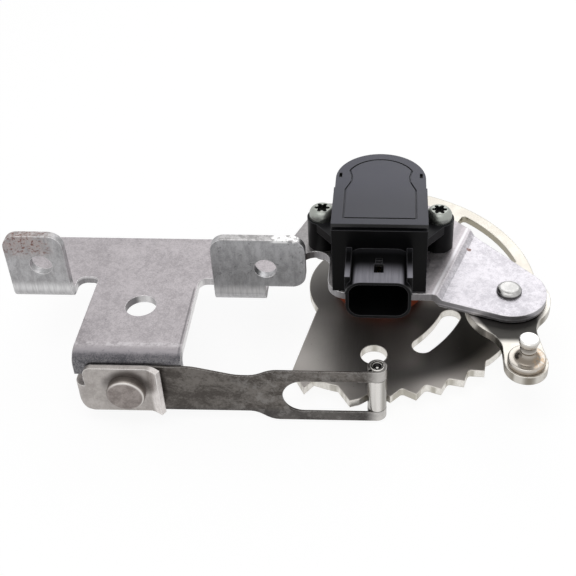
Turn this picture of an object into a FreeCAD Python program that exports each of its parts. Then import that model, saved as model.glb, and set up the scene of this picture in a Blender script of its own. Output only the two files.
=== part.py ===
"""Transmission range sensor on its bracket, with detent lever, detent spring and valve lever.

Millimetres, +Z up.  The manual shaft's axis is the Z axis, and z = 0 is the top of the detent plate.
Every driving size is a named cell of the sheet Dims, and every sketch and feature is bound to those cells.
"""
import FreeCAD, Part
import math
import os
import types

import Sketcher

os.makedirs("parts", exist_ok=True)
doc = FreeCAD.newDocument("RangeSensor")
sheet = doc.addObject("Spreadsheet::Sheet", "Dims")
V = FreeCAD.Vector
UP = V(0, 0, 1)

DIMS = {
    # bracket sheet: levels and plan
    "sheet_thick": 2.5, "seat_top": 17.0, "joggle_drop": 1.5, "joggle_run": 1.7, "joggle_offset": 24.5,
    "joggle_angle": 19.9, "crossbar_left": 108.2, "crossbar_back": 0.8, "stem_left": 84.8, "stem_right": 54.4,
    "relief_back": 18.6, "relief_radius": 1.2, "notch_radius": 2.4, "neck_x": 28.6,
    "seat_back": 21.5, "seat_left": 20.5,
    "seat_front": 24.2, "seat_side": 15.6, "seat_corner": 6.2, "collar_notch_x": 20.1, "collar_notch_y": 8.5,
    "collar_notch_radius": 4.5, "plan_round": 5.0, "tip_radius": 11.3, "tip_root_x": 29.6, "tip_root_y": 7.2,
    # bracket ears that stand up
    "ear_front": 26.4, "bend_inner": 0.8, "ear_top": 37.9, "ear_round": 4.2, "left_ear_right": 91.0,
    "right_ear_left": 48.5, "right_ear_right": 21.3, "right_tab_right": 33.5, "ear_hole_height": 27.5,
    "ear_free_edge": 20.9, "left_hole_x": 98.3, "right_hole_x": 33.0, "ear_hole_radius": 3.25,
    # bracket stem and the flange that hangs from it
    "stem_hole_x": 69.5, "stem_hole_y": 31.5, "stem_hole_radius": 4.5, "flange_bend_inner": 1.5,
    "flange_bottom": 1.5, "flange_step_height": 9.8, "flange_step": 3.8,
    # pivot of the valve lever at the bracket's tip
    "tip_x": 39.0, "tip_y": 20.5, "pivot_radius": 3.0, "pivot_head_radius": 3.8, "pivot_head": 1.6,
    "run_gap": 0.05, "side_gap": 0.3,
    # detent plate and hub
    "plate_thick": 2.6, "roller_orbit": 50.5, "comb_pitch": 8.7, "comb_stops": 7, "comb_gap": 0.12,
    "valley_angle": 52.0, "valley_round": 1.2, "valley_flank": 6.6, "run_out_drop": 3.1, "run_out_lead": 0.8,
    "stop_rise": 1.8, "stop_angle": 98.6, "heel_rise": 1.2, "heel_angle": 114.4,
    "heel_cut_drop": 3.2, "heel_cut_start": 113.2, "heel_cut_end": 104.0, "lobe_radius": 23.0,
    "lobe_end_angle": 148.5, "flank_x": 25.2, "flank_y": 39.7, "rim_radius": 55.0, "rim_centre_x": 3.9,
    "rim_width": 3.9, "rim_start_angle": 26.0, "rim_end_angle": 74.0, "window_start_angle": 14.0,
    "window_end_angle": 50.0, "window_inner": 29.0, "slot_centre_x": 17.5, "slot_centre_y": 2.0,
    "slot_radius": 43.3, "slot_width": 6.4, "slot_front_angle": 45.0, "slot_back_angle": 22.7,
    "plate_hole_x": 1.35, "plate_hole_y": 32.6, "plate_hole_radius": 4.0,
    "shaft_radius": 6.0, "hub_radius": 8.5, "hub_flange_radius": 11.0, "hub_flange": 1.8, "hub_top": 10.0,
    # rotor and magnet inside the sensor
    "rotor_flange_radius": 14.6, "rotor_flange": 3.6, "rotor_radius": 12.0, "rotor_top": 24.5,
    "rotor_bore_top": 20.0, "rotor_gap": 0.4, "magnet_radius": 8.0, "magnet_thick": 2.5, "seat_bore": 14.5,
    # sensor housing, cover and screws
    "housing_half": 13.9, "housing_front": 23.2, "housing_top": 39.4, "housing_wall": 1.8,
    "chamber_floor": 26.8, "rotor_roof": 25.5, "screw_x": 18.1, "lug_radius": 4.7, "lug_top": 27.4,
    "lug_rib": 3.0, "lug_front": 11.5, "sleeve_radius": 3.0, "sleeve_wall": 0.8, "screw_radius": 2.0,
    "screw_head_radius": 4.0, "screw_head": 3.3, "screw_end": 11.6, "collar_wall": 1.1, "collar_drop": 2.0,
    "drive_radius": 1.55,
    "drive_lobe_radius": 0.62, "drive_lobe_ring": 1.75, "drive_depth": 1.8,
    "cover_thick": 1.2, "cover_groove": 1.2, "plug_depth": 2.0, "plug_gap": 0.1, "panel_inset": 3.2,
    "panel_line": 0.5, "panel_depth": 0.5, "panel_front": 2.7, "panel_waist": 1.7, "waist_front": 1.5,
    "waist_back": 1.0, "jog_run": 4.5, "arch_start": 4.2, "arch_inset": 3.3, "shoulder_step": 0.3,
    "shoulder_front": 5.0, "snap_x": 12.2, "snap_y": 1.6, "snap_wide": 0.9, "snap_long": 2.4,
    # connector
    "socket_half": 9.25, "socket_low": 20.0, "socket_high": 33.0, "socket_end": 38.5, "socket_wall": 0.9,
    "rail_width": 1.6, "rail_out": 0.3, "rail_low": 27.0, "rail_end": 36.5, "bump_half": 1.0,
    "bump_high": 0.8, "bump_long": 1.2, "socket_round": 4.4, "socket_floor": 25.0,
    "latch_half": 1.35, "latch_back": 30.2, "latch_front": 34.0,
    "blade_width": 1.0, "blade_height": 0.64, "blade_pitch": 3.2, "blade_count": 5, "blade_tip": 33.5,
    # circuit board and sensing chip
    "board_half": 9.5, "board_front": 20.6, "board_back": 7.0, "board_thick": 1.4,
    "chip_half": 2.6, "chip_thick": 1.2,
    # detent spring, roller, clamp
    "leaf_thick": 0.7, "roller_radius": 2.75, "eye_gap": 0.05, "roller_low": 2.8, "roller_high": 8.8,
    "eye_margin": 0.2, "fork_low": 6.4, "fork_high": 12.8, "gap_end": 26.7, "eye_curl": 210.0,
    "fork_root": 29.8, "waist_right": 34.5, "waist_left": 39.5, "waist_high": 10.6,
    "strip_right": 52.0, "strip_high": 13.7, "strip_low": 3.1, "strip_end": 77.0,
    "clamp_thick": 1.7, "clamp_left": 81.6, "clamp_right": 63.0, "clamp_low": 1.9, "clamp_high": 14.3,
    "clamp_round": 2.3, "lip_out": 2.0, "lip_run": 3.2, "lip_bend": 3.5, "hook_inner": 1.4, "hook_reach": 3.3,
    "hook_corner": 5.6, "hook_high": 7.6, "rivet_x": 70.0, "rivet_height": 6.2, "rivet_radius": 3.0,
    "rivet_head_radius": 5.4, "rivet_head": 2.8, "rivet_rim": 0.7, "rivet_tail_radius": 4.6,
    "rivet_tail": 1.8,
    # valve lever and stud
    "lever_thick": 2.8, "lever_head_radius": 13.6, "lever_flank_x": 31.4, "lever_flank_y": 35.0,
    "lever_neck_half": 5.0, "lever_neck_y": 41.6, "lever_boss_radius": 6.2, "stud_x": 41.8, "stud_y": 47.7,
    "stud_radius": 3.0, "stud_neck": 1.8, "stud_shank": 2.5, "stud_cone": 4.0, "stud_flange_radius": 5.4,
    "stud_flange": 1.8, "stud_cone_high": 3.4, "stud_neck_high": 1.6, "stud_tip_high": 2.2, "stud_tail": 0.6,
}


class Size:
    """A number together with the sheet expression that gives it."""

    def __init__(self, value, text):
        self.value = float(value)
        self.text = text

    def __add__(self, other):
        other = size(other)
        return Size(self.value + other.value, f"({self.text} + {other.text})")

    def __sub__(self, other):
        other = size(other)
        return Size(self.value - other.value, f"({self.text} - {other.text})")

    def __mul__(self, other):
        other = size(other)
        return Size(self.value * other.value, f"({self.text} * {other.text})")

    def __truediv__(self, other):
        other = size(other)
        return Size(self.value / other.value, f"({self.text} / {other.text})")

    def __neg__(self):
        return Size(-self.value, f"(-{self.text})")

    __radd__ = __add__


def size(number):
    """A Size from a plain number, or the Size itself."""
    if isinstance(number, Size):
        return number
    return Size(number, repr(float(number)))


def root(number):
    """Square root of a Size."""
    return Size(math.sqrt(number.value), f"sqrt({number.text})")


def polar(radius, degrees, centre=(0, 0)):
    """The point at that radius and angle, counted anticlockwise from +X."""
    radius, degrees = size(radius), size(degrees)
    angle = math.radians(degrees.value)
    east = Size(radius.value * math.cos(angle), f"({radius.text} * cos({degrees.text} * 1 deg))")
    north = Size(radius.value * math.sin(angle), f"({radius.text} * sin({degrees.text} * 1 deg))")
    return size(centre[0]) + east, size(centre[1]) + north


for row, (name, number) in enumerate(DIMS.items(), start=1):
    sheet.set(f"A{row}", name)
    sheet.set(f"B{row}", str(number))
    sheet.setAlias(f"B{row}", name)
doc.recompute()
d = types.SimpleNamespace(**{name: Size(number, f"Dims.{name}") for name, number in DIMS.items()})


# Sketch and feature helpers


def new_body(label):
    """An empty body whose label names its node."""
    body = doc.addObject("PartDesign::Body", label)
    body.Label = label
    return body


def sketch_on(body, role, name, lift=0, turn=None):
    """A sketch on one of the body's own origin planes, lifted along the plane's normal.

    turn swings the sketch clockwise, seen from above, about its own upright axis by that many degrees.
    """
    plane = [item for item in body.Origin.OriginFeatures if item.Role == role][0]
    sketch = body.newObject("Sketcher::SketchObject", name)
    sketch.AttachmentSupport = [(plane, "")]
    sketch.MapMode = "FlatFace"
    lift = size(lift)
    spin = FreeCAD.Rotation(V(0, -1, 0), 1.0) if turn is not None else FreeCAD.Rotation()
    sketch.AttachmentOffset = FreeCAD.Placement(V(0, 0, lift.value), spin)
    sketch.setExpression("AttachmentOffset.Base.z", lift.text)
    if turn is not None:
        sketch.setExpression("AttachmentOffset.Rotation.Angle", size(turn).text)
    return sketch


def bind(sketch, constraint, number):
    """Adds a constraint and binds its value to the sheet."""
    index = sketch.addConstraint(constraint)
    sketch.setExpression(f"Constraints[{index}]", number.text)


def fix_point(sketch, geometry, position, x, y):
    """Holds one point of a sketch at x and y from the sketch's origin."""
    bind(sketch, Sketcher.Constraint("DistanceX", -1, 1, geometry, position, x.value), x)
    bind(sketch, Sketcher.Constraint("DistanceY", -1, 1, geometry, position, y.value), y)


def arc_between(start, end, radius, turn):
    """The arc of at most half a turn from start to end, anticlockwise where turn is +1."""
    chord = end - start
    middle = (start + end) * 0.5
    rise = math.sqrt(max(radius * radius - chord.Length * chord.Length / 4, 0.0))
    left = V(-chord.y, chord.x, 0).normalize()
    centre = middle + left * (rise * turn)
    first, last = (start, end) if turn > 0 else (end, start)
    begin = math.atan2(first.y - centre.y, first.x - centre.x)
    finish = math.atan2(last.y - centre.y, last.x - centre.x)
    return Part.ArcOfCircle(Part.Circle(centre, UP, radius), begin, finish)


def loop(sketch, corners):
    """A closed outline through corners, each (x, y) or, reached by an arc, (x, y, radius, turn)."""
    corners = [tuple(size(item) for item in corner[:3]) + tuple(corner[3:]) for corner in corners]
    spots = [V(corner[0].value, corner[1].value, 0) for corner in corners]
    ends = []
    for index, corner in enumerate(corners):
        start, end = spots[index - 1], spots[index]
        if len(corner) == 2:
            geometry = sketch.addGeometry(Part.LineSegment(start, end), False)
            ends.append((geometry, 1, 2))
            continue
        geometry = sketch.addGeometry(arc_between(start, end, corner[2].value, corner[3]), False)
        ends.append((geometry, 1, 2) if corner[3] > 0 else (geometry, 2, 1))
    for index, (geometry, first, last) in enumerate(ends):
        before = ends[index - 1]
        sketch.addConstraint(Sketcher.Constraint("Coincident", before[0], before[2], geometry, first))
        fix_point(sketch, geometry, last, corners[index][0], corners[index][1])
        if len(corners[index]) > 2:
            bind(sketch, Sketcher.Constraint("Radius", geometry, corners[index][2].value), corners[index][2])


def ring(sketch, x, y, radius):
    """A full circle in a sketch."""
    x, y, radius = size(x), size(y), size(radius)
    geometry = sketch.addGeometry(Part.Circle(V(x.value, y.value, 0), UP, radius.value), False)
    fix_point(sketch, geometry, 3, x, y)
    bind(sketch, Sketcher.Constraint("Radius", geometry, radius.value), radius)


def pad(body, sketch, length):
    """Extrudes a sketch along its normal."""
    feature = body.newObject("PartDesign::Pad", "Pad_" + sketch.Name)
    feature.Profile = sketch
    feature.setExpression("Length", size(length).text)
    body.Tip = feature
    sketch.Visibility = False
    return feature


def pocket(body, sketch, length=None, reverse=False):
    """Cuts a sketch away, against its normal unless reversed, or right through both ways with no length."""
    feature = body.newObject("PartDesign::Pocket", "Pocket_" + sketch.Name)
    feature.Profile = sketch
    if length is None:
        feature.Type = "ThroughAll"
        feature.Midplane = True
    else:
        feature.setExpression("Length", size(length).text)
        feature.Reversed = reverse
    body.Tip = feature
    return feature


def revolve(body, sketch):
    """Turns a sketch round its own upright axis."""
    feature = body.newObject("PartDesign::Revolution", "Turn_" + sketch.Name)
    feature.Profile = sketch
    feature.ReferenceAxis = (sketch, ["V_Axis"])
    feature.Angle = 360
    body.Tip = feature
    return feature


def round_edges(body, along, spots, radius, name):
    """Fillets the edges along an axis, Z or Y, that pass the given points, (x, y) or (x, z)."""
    doc.recompute()
    base = body.Tip
    other = "y" if along == "z" else "z"
    spots = [(size(first).value, size(second).value) for first, second in spots]

    def wanted(edge):
        start, end = edge.Vertexes[0].Point, edge.Vertexes[-1].Point
        gaps = [abs(getattr(start, axis) - getattr(end, axis)) for axis in ("x", other)]
        here = (start.x, getattr(start, other))
        return max(gaps) < 1e-4 and any(math.dist(here, spot) < 0.02 for spot in spots)

    fillet = body.newObject("PartDesign::Fillet", name)
    fillet.Base = (base, [f"Edge{i}" for i, edge in enumerate(base.Shape.Edges, start=1) if wanted(edge)])
    fillet.setExpression("Radius", radius.text)
    body.Tip = fillet


def turned(label, profile, x=0, y=0):
    """A turned piece: its half profile, as (radius, z) corners, revolved about a Z axis at x, y."""
    body = new_body(label)
    sketch = sketch_on(body, "XZ_Plane", label + "_profile")
    loop(sketch, profile)
    revolve(body, sketch)
    place(body, x, y, 0)
    return body


def place(body, x, y, z):
    """Binds a body's place to the sheet."""
    for axis, number in zip("xyz", (x, y, z)):
        body.setExpression(f"Placement.Base.{axis}", size(number).text)


def pair(label, source):
    """A node of two separate solids: source and its mirror image in the middle plane."""
    mirror = doc.addObject("Part::Mirroring", label + "_mirror")
    mirror.Source = source
    mirror.Normal = V(1, 0, 0)
    group = doc.addObject("Part::Compound", label)
    group.Links = [source, mirror]
    group.Label = label
    return group


# Sizes that several pieces share

seat_low = d.seat_top - d.sheet_thick
tip_top = d.seat_top - d.joggle_drop
tip_low = tip_top - d.sheet_thick
leaf_front = d.roller_orbit + d.roller_radius
leaf_back = leaf_front - d.leaf_thick
flange_bend = d.flange_bend_inner + d.sheet_thick
flange_line = leaf_back - flange_bend
ear_bend = d.bend_inner + d.sheet_thick
ear_line = d.ear_front - ear_bend
ear_foot = d.seat_top + d.bend_inner
lever_top = tip_low - d.side_gap
lever_low = lever_top - d.lever_thick
clamp_front = leaf_front + d.clamp_thick
eye_inner = d.roller_radius - d.leaf_thick
pin_radius = eye_inner - d.eye_gap
gap_low = d.roller_low + d.eye_margin
gap_high = d.roller_high + d.eye_margin
chamber_half = d.housing_half - d.housing_wall
blade_level = d.chamber_floor + d.board_thick


def main_bracket():
    """The stamped sheet: one plan outline, stepped down at the tip, with two ears up and one flange down."""
    body = new_body("main_bracket")
    along = d.joggle_angle
    reach = root(d.tip_radius * d.tip_radius / 2)
    plan = sketch_on(body, "XY_Plane", "bracket_plan", tip_low)
    notch_left = -d.collar_notch_x - d.collar_notch_radius
    notch_right = -d.collar_notch_x + d.collar_notch_radius
    tip_front = (d.tip_x - d.tip_radius * 0.29, -d.tip_y - d.tip_radius * 0.957)
    tip_back = (d.tip_x + d.tip_radius * 0.79, -d.tip_y + d.tip_radius * 0.613)
    loop(plan, [
        (-d.crossbar_left, d.crossbar_back),
        (-d.crossbar_left, -ear_line),
        (-d.left_ear_right, -ear_line),
        (-d.left_ear_right, -d.relief_back),
        (-d.stem_left, -d.relief_back),
        (-d.stem_left, -flange_line),
        (-d.stem_right, -flange_line),
        (-d.stem_right, -d.relief_back),
        (-d.right_ear_left, -d.relief_back),
        (-d.right_ear_left, -ear_line),
        (-d.right_tab_right, -ear_line),
        (-d.right_tab_right, -d.relief_back),
        (notch_left, -d.relief_back),
        (notch_left, -d.collar_notch_y),
        (notch_right, -d.collar_notch_y, d.collar_notch_radius + 0.05, -1),
        (notch_right, -d.seat_front + d.seat_corner),
        (notch_right + d.seat_corner, -d.seat_front, d.seat_corner, 1),
        (d.seat_side, -d.seat_front),
        tip_front,
        (d.tip_x + reach, -d.tip_y - reach, d.tip_radius, 1),
        tip_back + (d.tip_radius, 1),
        (d.tip_root_x, d.tip_root_y),
        (d.seat_side, d.seat_back),
        (-d.seat_left, d.seat_back),
        (-d.neck_x, d.crossbar_back),
    ])
    ring(plan, -d.stem_hole_x, -d.stem_hole_y, d.stem_hole_radius)
    ring(plan, 0, 0, d.seat_bore)
    ring(plan, -d.screw_x, 0, d.screw_radius)
    ring(plan, d.screw_x, 0, d.screw_radius)
    pad(body, plan, d.sheet_thick + d.joggle_drop)
    reliefs = [(-d.left_ear_right, -d.relief_back), (-d.stem_left, -d.relief_back),
               (-d.stem_right, -d.relief_back), (-d.right_ear_left, -d.relief_back)]
    round_edges(body, "z", reliefs, d.notch_radius, "relief_rounds")
    round_edges(body, "z", [(notch_left, -d.relief_back)], d.relief_radius, "inner_round")
    corners = [(-d.crossbar_left, d.crossbar_back), (d.seat_side, d.seat_back), (-d.seat_left, d.seat_back),
               (-d.neck_x, d.crossbar_back)]
    round_edges(body, "z", corners, d.plan_round, "plan_rounds")
    # the step: what lies above the tip and what lies below the seat is cut off along a slanted line
    far = d.crossbar_left * 1.5
    above = sketch_on(body, "XZ_Plane", "above_tip", turn=along)
    loop(above, [
        (d.joggle_offset, d.seat_top + 1), (d.joggle_offset, d.seat_top),
        (d.joggle_offset + d.joggle_run, tip_top), (far, tip_top), (far, d.seat_top + 1),
    ])
    pocket(body, above)
    shift = d.sheet_thick * 0.35
    below = sketch_on(body, "XZ_Plane", "below_seat", turn=along)
    loop(below, [
        (-far, tip_low - 1), (d.joggle_offset + d.joggle_run - shift, tip_low - 1),
        (d.joggle_offset + d.joggle_run - shift, tip_low), (d.joggle_offset - shift, seat_low),
        (-far, seat_low),
    ])
    pocket(body, below)
    pivot = sketch_on(body, "XY_Plane", "pivot_hole")
    ring(pivot, d.tip_x, -d.tip_y, d.pivot_radius)
    pocket(body, pivot)
    # threaded collars drawn down round the screws
    for side, word in ((-1, "left"), (1, "right")):
        collar = sketch_on(body, "XY_Plane", f"collar_{word}", seat_low - d.collar_drop)
        ring(collar, d.screw_x * side, 0, d.screw_radius + d.collar_wall)
        ring(collar, d.screw_x * side, 0, d.screw_radius)
        pad(body, collar, d.collar_drop)
    # ears: a quarter bend along the crossbar's front edge, then a flat tab with a hole
    for word, left, foot_right, right, hole in (
            ("left", d.crossbar_left, d.left_ear_right, d.left_ear_right, d.left_hole_x),
            ("right", d.right_ear_left, d.right_tab_right, d.right_ear_right, d.right_hole_x)):
        bend = sketch_on(body, "YZ_Plane", f"{word}_ear_bend", -left)
        loop(bend, [
            (-ear_line, d.seat_top), (-d.ear_front + d.sheet_thick, ear_foot, d.bend_inner, -1),
            (-d.ear_front, ear_foot), (-ear_line, seat_low, ear_bend, 1),
        ])
        pad(body, bend, left - foot_right)
        tab = sketch_on(body, "XZ_Plane", f"{word}_ear", d.ear_front - d.sheet_thick)
        lower = [(-right, ear_foot)]
        if word == "right":
            edge = d.ear_free_edge
            lower = [(-foot_right, ear_foot), (-foot_right, edge), (-right - d.ear_round, edge),
                     (-right, edge + d.ear_round, d.ear_round, 1)]
        loop(tab, [(-left, ear_foot)] + lower + [
            (-right, d.ear_top - d.ear_round), (-right - d.ear_round, d.ear_top, d.ear_round, 1),
            (-left + d.ear_round, d.ear_top), (-left, d.ear_top - d.ear_round, d.ear_round, 1),
        ])
        ring(tab, -hole, d.ear_hole_height, d.ear_hole_radius)
        pad(body, tab, d.sheet_thick)
    # flange bent down at the end of the stem, narrower on the left below the clamp's hook
    flange = sketch_on(body, "YZ_Plane", "flange_section", -d.stem_left)
    loop(flange, [
        (-flange_line, d.seat_top), (-leaf_back, d.seat_top - flange_bend, flange_bend, 1),
        (-leaf_back, -d.flange_bottom), (-leaf_back + d.sheet_thick, -d.flange_bottom),
        (-leaf_back + d.sheet_thick, d.seat_top - flange_bend),
        (-flange_line, seat_low, d.flange_bend_inner, -1),
    ])
    pad(body, flange, d.stem_left - d.stem_right)
    step = sketch_on(body, "XZ_Plane", "flange_cuts", leaf_back + 1)
    loop(step, [
        (-d.stem_left - 1, -d.flange_bottom - 1), (-d.stem_left + d.flange_step, -d.flange_bottom - 1),
        (-d.stem_left + d.flange_step, d.flange_step_height), (-d.stem_left - 1, d.flange_step_height),
    ])
    ring(step, -d.rivet_x, d.rivet_height, d.rivet_radius)
    pocket(body, step, d.sheet_thick + 2)
    return body


def housing_outline(sketch, half, front):
    """The sensor's plan: a block in front and, past a small shoulder, a back round about the shaft."""
    back = half - d.shoulder_step
    loop(sketch, [
        (-half, -front), (half, -front), (half, -d.shoulder_front), (back, -d.shoulder_front), (back, 0),
        (0, back, back, 1), (-back, 0, back, 1), (-back, -d.shoulder_front), (-half, -d.shoulder_front),
    ])


def panel_outline(sketch, inset):
    """The cover's panel: straight sides that jog in to a waist, and an arch at the back."""
    side = d.housing_half - d.panel_inset - inset
    waist = side - d.panel_waist
    front = d.housing_front - d.panel_front - inset
    jog = d.waist_front + d.jog_run
    shoulder = side - 1
    arch = d.housing_half - d.arch_inset - inset
    # the arch passes through both shoulders and the panel's back
    rise = arch - d.arch_start
    arch_radius = (shoulder * shoulder + rise * rise) / (rise * 2)
    loop(sketch, [
        (-side, -front), (side, -front), (side, -jog), (waist, -d.waist_front), (waist, d.waist_back),
        (shoulder, d.arch_start), (0, arch, arch_radius, 1), (-shoulder, d.arch_start, arch_radius, 1),
        (-waist, d.waist_back), (-waist, -d.waist_front), (-side, -jog),
    ])


def sensor_housing():
    """The moulded case: board chamber above, rotor chamber below, screw lugs and the connector shroud."""
    body = new_body("sensor_housing")
    plan = sketch_on(body, "XY_Plane", "case_plan", d.seat_top)
    housing_outline(plan, d.housing_half, d.housing_front)
    pad(body, plan, d.housing_top - d.seat_top)
    inside = d.housing_half - 1
    for side, word in ((-1, "left"), (1, "right")):
        boss = sketch_on(body, "XY_Plane", f"lug_boss_{word}", d.seat_top)
        ring(boss, d.screw_x * side, 0, d.lug_radius)
        pad(body, boss, d.lug_top - d.seat_top)
        rib = sketch_on(body, "XY_Plane", f"lug_rib_{word}", d.lug_top - d.lug_rib)
        loop(rib, [
            (inside * side, d.lug_radius * 0.9), (d.screw_x * side, d.lug_radius * 0.9),
            ((d.screw_x + d.lug_radius * 0.6) * side, -d.lug_radius * 0.6),
            (d.housing_half * side, -d.lug_front), (inside * side, -d.lug_front),
        ])
        pad(body, rib, d.lug_rib)
    shroud = sketch_on(body, "XZ_Plane", "shroud", d.housing_front - d.housing_wall / 2)
    rounded_box(shroud, d.socket_half, d.socket_low, d.socket_high, d.socket_round)
    pad(body, shroud, d.socket_end - d.housing_front + d.housing_wall / 2)
    for side, word in ((-1, "left"), (1, "right")):
        rail = sketch_on(body, "XZ_Plane", f"rail_{word}", d.housing_front - d.housing_wall / 2)
        outer = d.socket_half + d.rail_out
        inner = outer - d.rail_width
        high = d.socket_high + d.rail_out
        loop(rail, [(inner * side, d.rail_low), (outer * side, d.rail_low),
                    (outer * side, high), (inner * side, high)])
        pad(body, rail, d.rail_end - d.housing_front + d.housing_wall / 2)
    bump = sketch_on(body, "XY_Plane", "latch_bump", d.socket_high - d.socket_wall / 2)
    bump_front = d.latch_back - d.socket_wall / 2
    loop(bump, [(-d.bump_half, -bump_front), (d.bump_half, -bump_front),
                (d.bump_half, -bump_front + d.bump_long), (-d.bump_half, -bump_front + d.bump_long)])
    pad(body, bump, d.bump_high + d.socket_wall / 2)
    mouth = sketch_on(body, "XZ_Plane", "shroud_mouth", d.socket_end)
    rounded_box(mouth, d.socket_half - d.socket_wall, d.socket_low + d.socket_wall,
                d.socket_high - d.socket_wall, d.socket_round - d.socket_wall)
    pocket(body, mouth, d.socket_end - d.socket_floor)
    latch = sketch_on(body, "XY_Plane", "latch_window", d.socket_high + 1)
    loop(latch, [(-d.latch_half, -d.latch_front), (d.latch_half, -d.latch_front),
                 (d.latch_half, -d.latch_back), (-d.latch_half, -d.latch_back)])
    pocket(body, latch, d.socket_wall + 2)
    chamber = sketch_on(body, "XY_Plane", "board_chamber", d.housing_top)
    housing_outline(chamber, chamber_half, d.housing_front - d.housing_wall)
    pocket(body, chamber, d.housing_top - d.chamber_floor)
    rotor_room = sketch_on(body, "XY_Plane", "rotor_chamber", d.seat_top)
    ring(rotor_room, 0, 0, d.rotor_radius + d.rotor_gap)
    pocket(body, rotor_room, d.rotor_roof - d.seat_top, reverse=True)
    holes = sketch_on(body, "XY_Plane", "sleeve_holes")
    ring(holes, -d.screw_x, 0, d.sleeve_radius)
    ring(holes, d.screw_x, 0, d.sleeve_radius)
    pocket(body, holes)
    slots = sketch_on(body, "XZ_Plane", "blade_slots", d.socket_floor)
    for number in range(DIMS["blade_count"]):
        blade_outline(slots, number)
    pocket(body, slots, d.socket_floor - d.housing_front + d.housing_wall)
    return body


def rounded_box(sketch, half, low, high, radius):
    """A rectangle with round corners, even about the upright axis."""
    loop(sketch, [
        (half - radius, low), (half, low + radius, radius, 1), (half, high - radius),
        (half - radius, high, radius, 1), (-half + radius, high), (-half, high - radius, radius, 1),
        (-half, low + radius), (-half + radius, low, radius, 1),
    ])


def blade_outline(sketch, number):
    """The section of one connector blade."""
    middle = d.blade_pitch * (number - (DIMS["blade_count"] - 1) / 2)
    half = d.blade_width / 2
    high = blade_level + d.blade_height
    loop(sketch, [(middle - half, blade_level), (middle + half, blade_level),
                  (middle + half, high), (middle - half, high)])


def box(name, low, high):
    """A box between two corners, each (x, y, z)."""
    piece = doc.addObject("Part::Box", name)
    for axis, field, first, last in zip("xyz", ("Length", "Width", "Height"), low, high):
        piece.setExpression(field, (size(last) - first).text)
        piece.setExpression(f"Placement.Base.{axis}", size(first).text)
    return piece


def connector_pins():
    """Flat blades from the shroud, through its floor, on to the board."""
    blades = []
    for number in range(DIMS["blade_count"]):
        middle = d.blade_pitch * (number - (DIMS["blade_count"] - 1) / 2)
        low = (middle - d.blade_width / 2, -d.blade_tip, blade_level)
        high = (middle + d.blade_width / 2, -d.board_front + 2, blade_level + d.blade_height)
        blades.append(box(f"blade_{number + 1}", low, high))
    group = doc.addObject("Part::Compound", "connector_pins")
    group.Links = blades
    group.Label = "connector_pins"
    return group


def circuit_board():
    """The board on the chamber's floor."""
    body = new_body("circuit_board")
    plan = sketch_on(body, "XY_Plane", "board_plan", d.chamber_floor)
    loop(plan, [(-d.board_half, -d.board_front), (d.board_half, -d.board_front),
                (d.board_half, d.board_back), (-d.board_half, d.board_back)])
    pad(body, plan, d.board_thick)
    return body


def sensor_chip():
    """The angle sensing chip over the rotor's axis."""
    body = new_body("sensor_chip")
    plan = sketch_on(body, "XY_Plane", "chip_plan", d.chamber_floor + d.board_thick)
    loop(plan, [(-d.chip_half, -d.chip_half), (d.chip_half, -d.chip_half),
                (d.chip_half, d.chip_half), (-d.chip_half, d.chip_half)])
    pad(body, plan, d.chip_thick)
    return body


def sensor_cover():
    """The lid: a plug inside the case's wall, a shadow groove, and a plate with a line round its panel."""
    body = new_body("sensor_cover")
    plug = sketch_on(body, "XY_Plane", "cover_plug", d.housing_top - d.plug_depth)
    housing_outline(plug, chamber_half - d.plug_gap, d.housing_front - d.housing_wall - d.plug_gap)
    pad(body, plug, d.plug_depth + d.cover_groove)
    plate = sketch_on(body, "XY_Plane", "cover_plate", d.housing_top + d.cover_groove)
    housing_outline(plate, d.housing_half, d.housing_front)
    pad(body, plate, d.cover_thick)
    line = sketch_on(body, "XY_Plane", "panel_line", d.housing_top + d.cover_groove + d.cover_thick)
    panel_outline(line, 0)
    panel_outline(line, d.panel_line)
    pocket(body, line, d.panel_depth)
    slots = sketch_on(body, "XY_Plane", "snap_slots", d.housing_top + d.cover_groove + d.cover_thick)
    for side in (-1, 1):
        near, far = d.snap_x - d.snap_wide / 2, d.snap_x + d.snap_wide / 2
        front, back = d.snap_y - d.snap_long / 2, d.snap_y + d.snap_long / 2
        loop(slots, [(near * side, front), (far * side, front), (far * side, back), (near * side, back)])
    pocket(body, slots, d.cover_thick)
    return body


def sensor_screws():
    """Two pan head screws with a six-lobe recess."""
    top = d.lug_top + d.screw_head
    head = d.screw_head_radius
    body = turned("sensor_screw", [
        (0, d.screw_end), (d.screw_radius, d.screw_end), (d.screw_radius, d.lug_top), (head, d.lug_top),
        (head, d.lug_top + d.screw_head * 0.5), (head * 0.62, top, head * 0.6, 1), (0, top),
    ], -d.screw_x)
    drive = sketch_on(body, "XY_Plane", "drive_core", top)
    ring(drive, 0, 0, d.drive_radius)
    pocket(body, drive, d.drive_depth)
    lobe = sketch_on(body, "XY_Plane", "drive_lobe", top)
    ring(lobe, d.drive_lobe_ring, 0, d.drive_lobe_radius)
    cut = pocket(body, lobe, d.drive_depth)
    spread(body, cut, 360, 6)
    return pair("sensor_screws", body)


def spread(body, feature, degrees, count):
    """Repeats a feature round the body's Z axis."""
    pattern = body.newObject("PartDesign::PolarPattern", "Spread_" + feature.Name)
    pattern.Originals = [feature]
    axis = [item for item in body.Origin.OriginFeatures if item.Role == "Z_Axis"][0]
    pattern.Axis = (axis, [""])
    pattern.setExpression("Angle", size(degrees).text)
    pattern.setExpression("Occurrences", size(count).text)
    body.Tip = pattern
    return pattern


def ear_sleeves():
    """Two steel sleeves that take the screws' load through the plastic lugs."""
    inner = d.sleeve_radius - d.sleeve_wall
    body = turned("ear_sleeve", [
        (inner, d.seat_top), (d.sleeve_radius, d.seat_top), (d.sleeve_radius, d.lug_top), (inner, d.lug_top),
    ], -d.screw_x)
    return pair("ear_sleeves", body)


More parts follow.
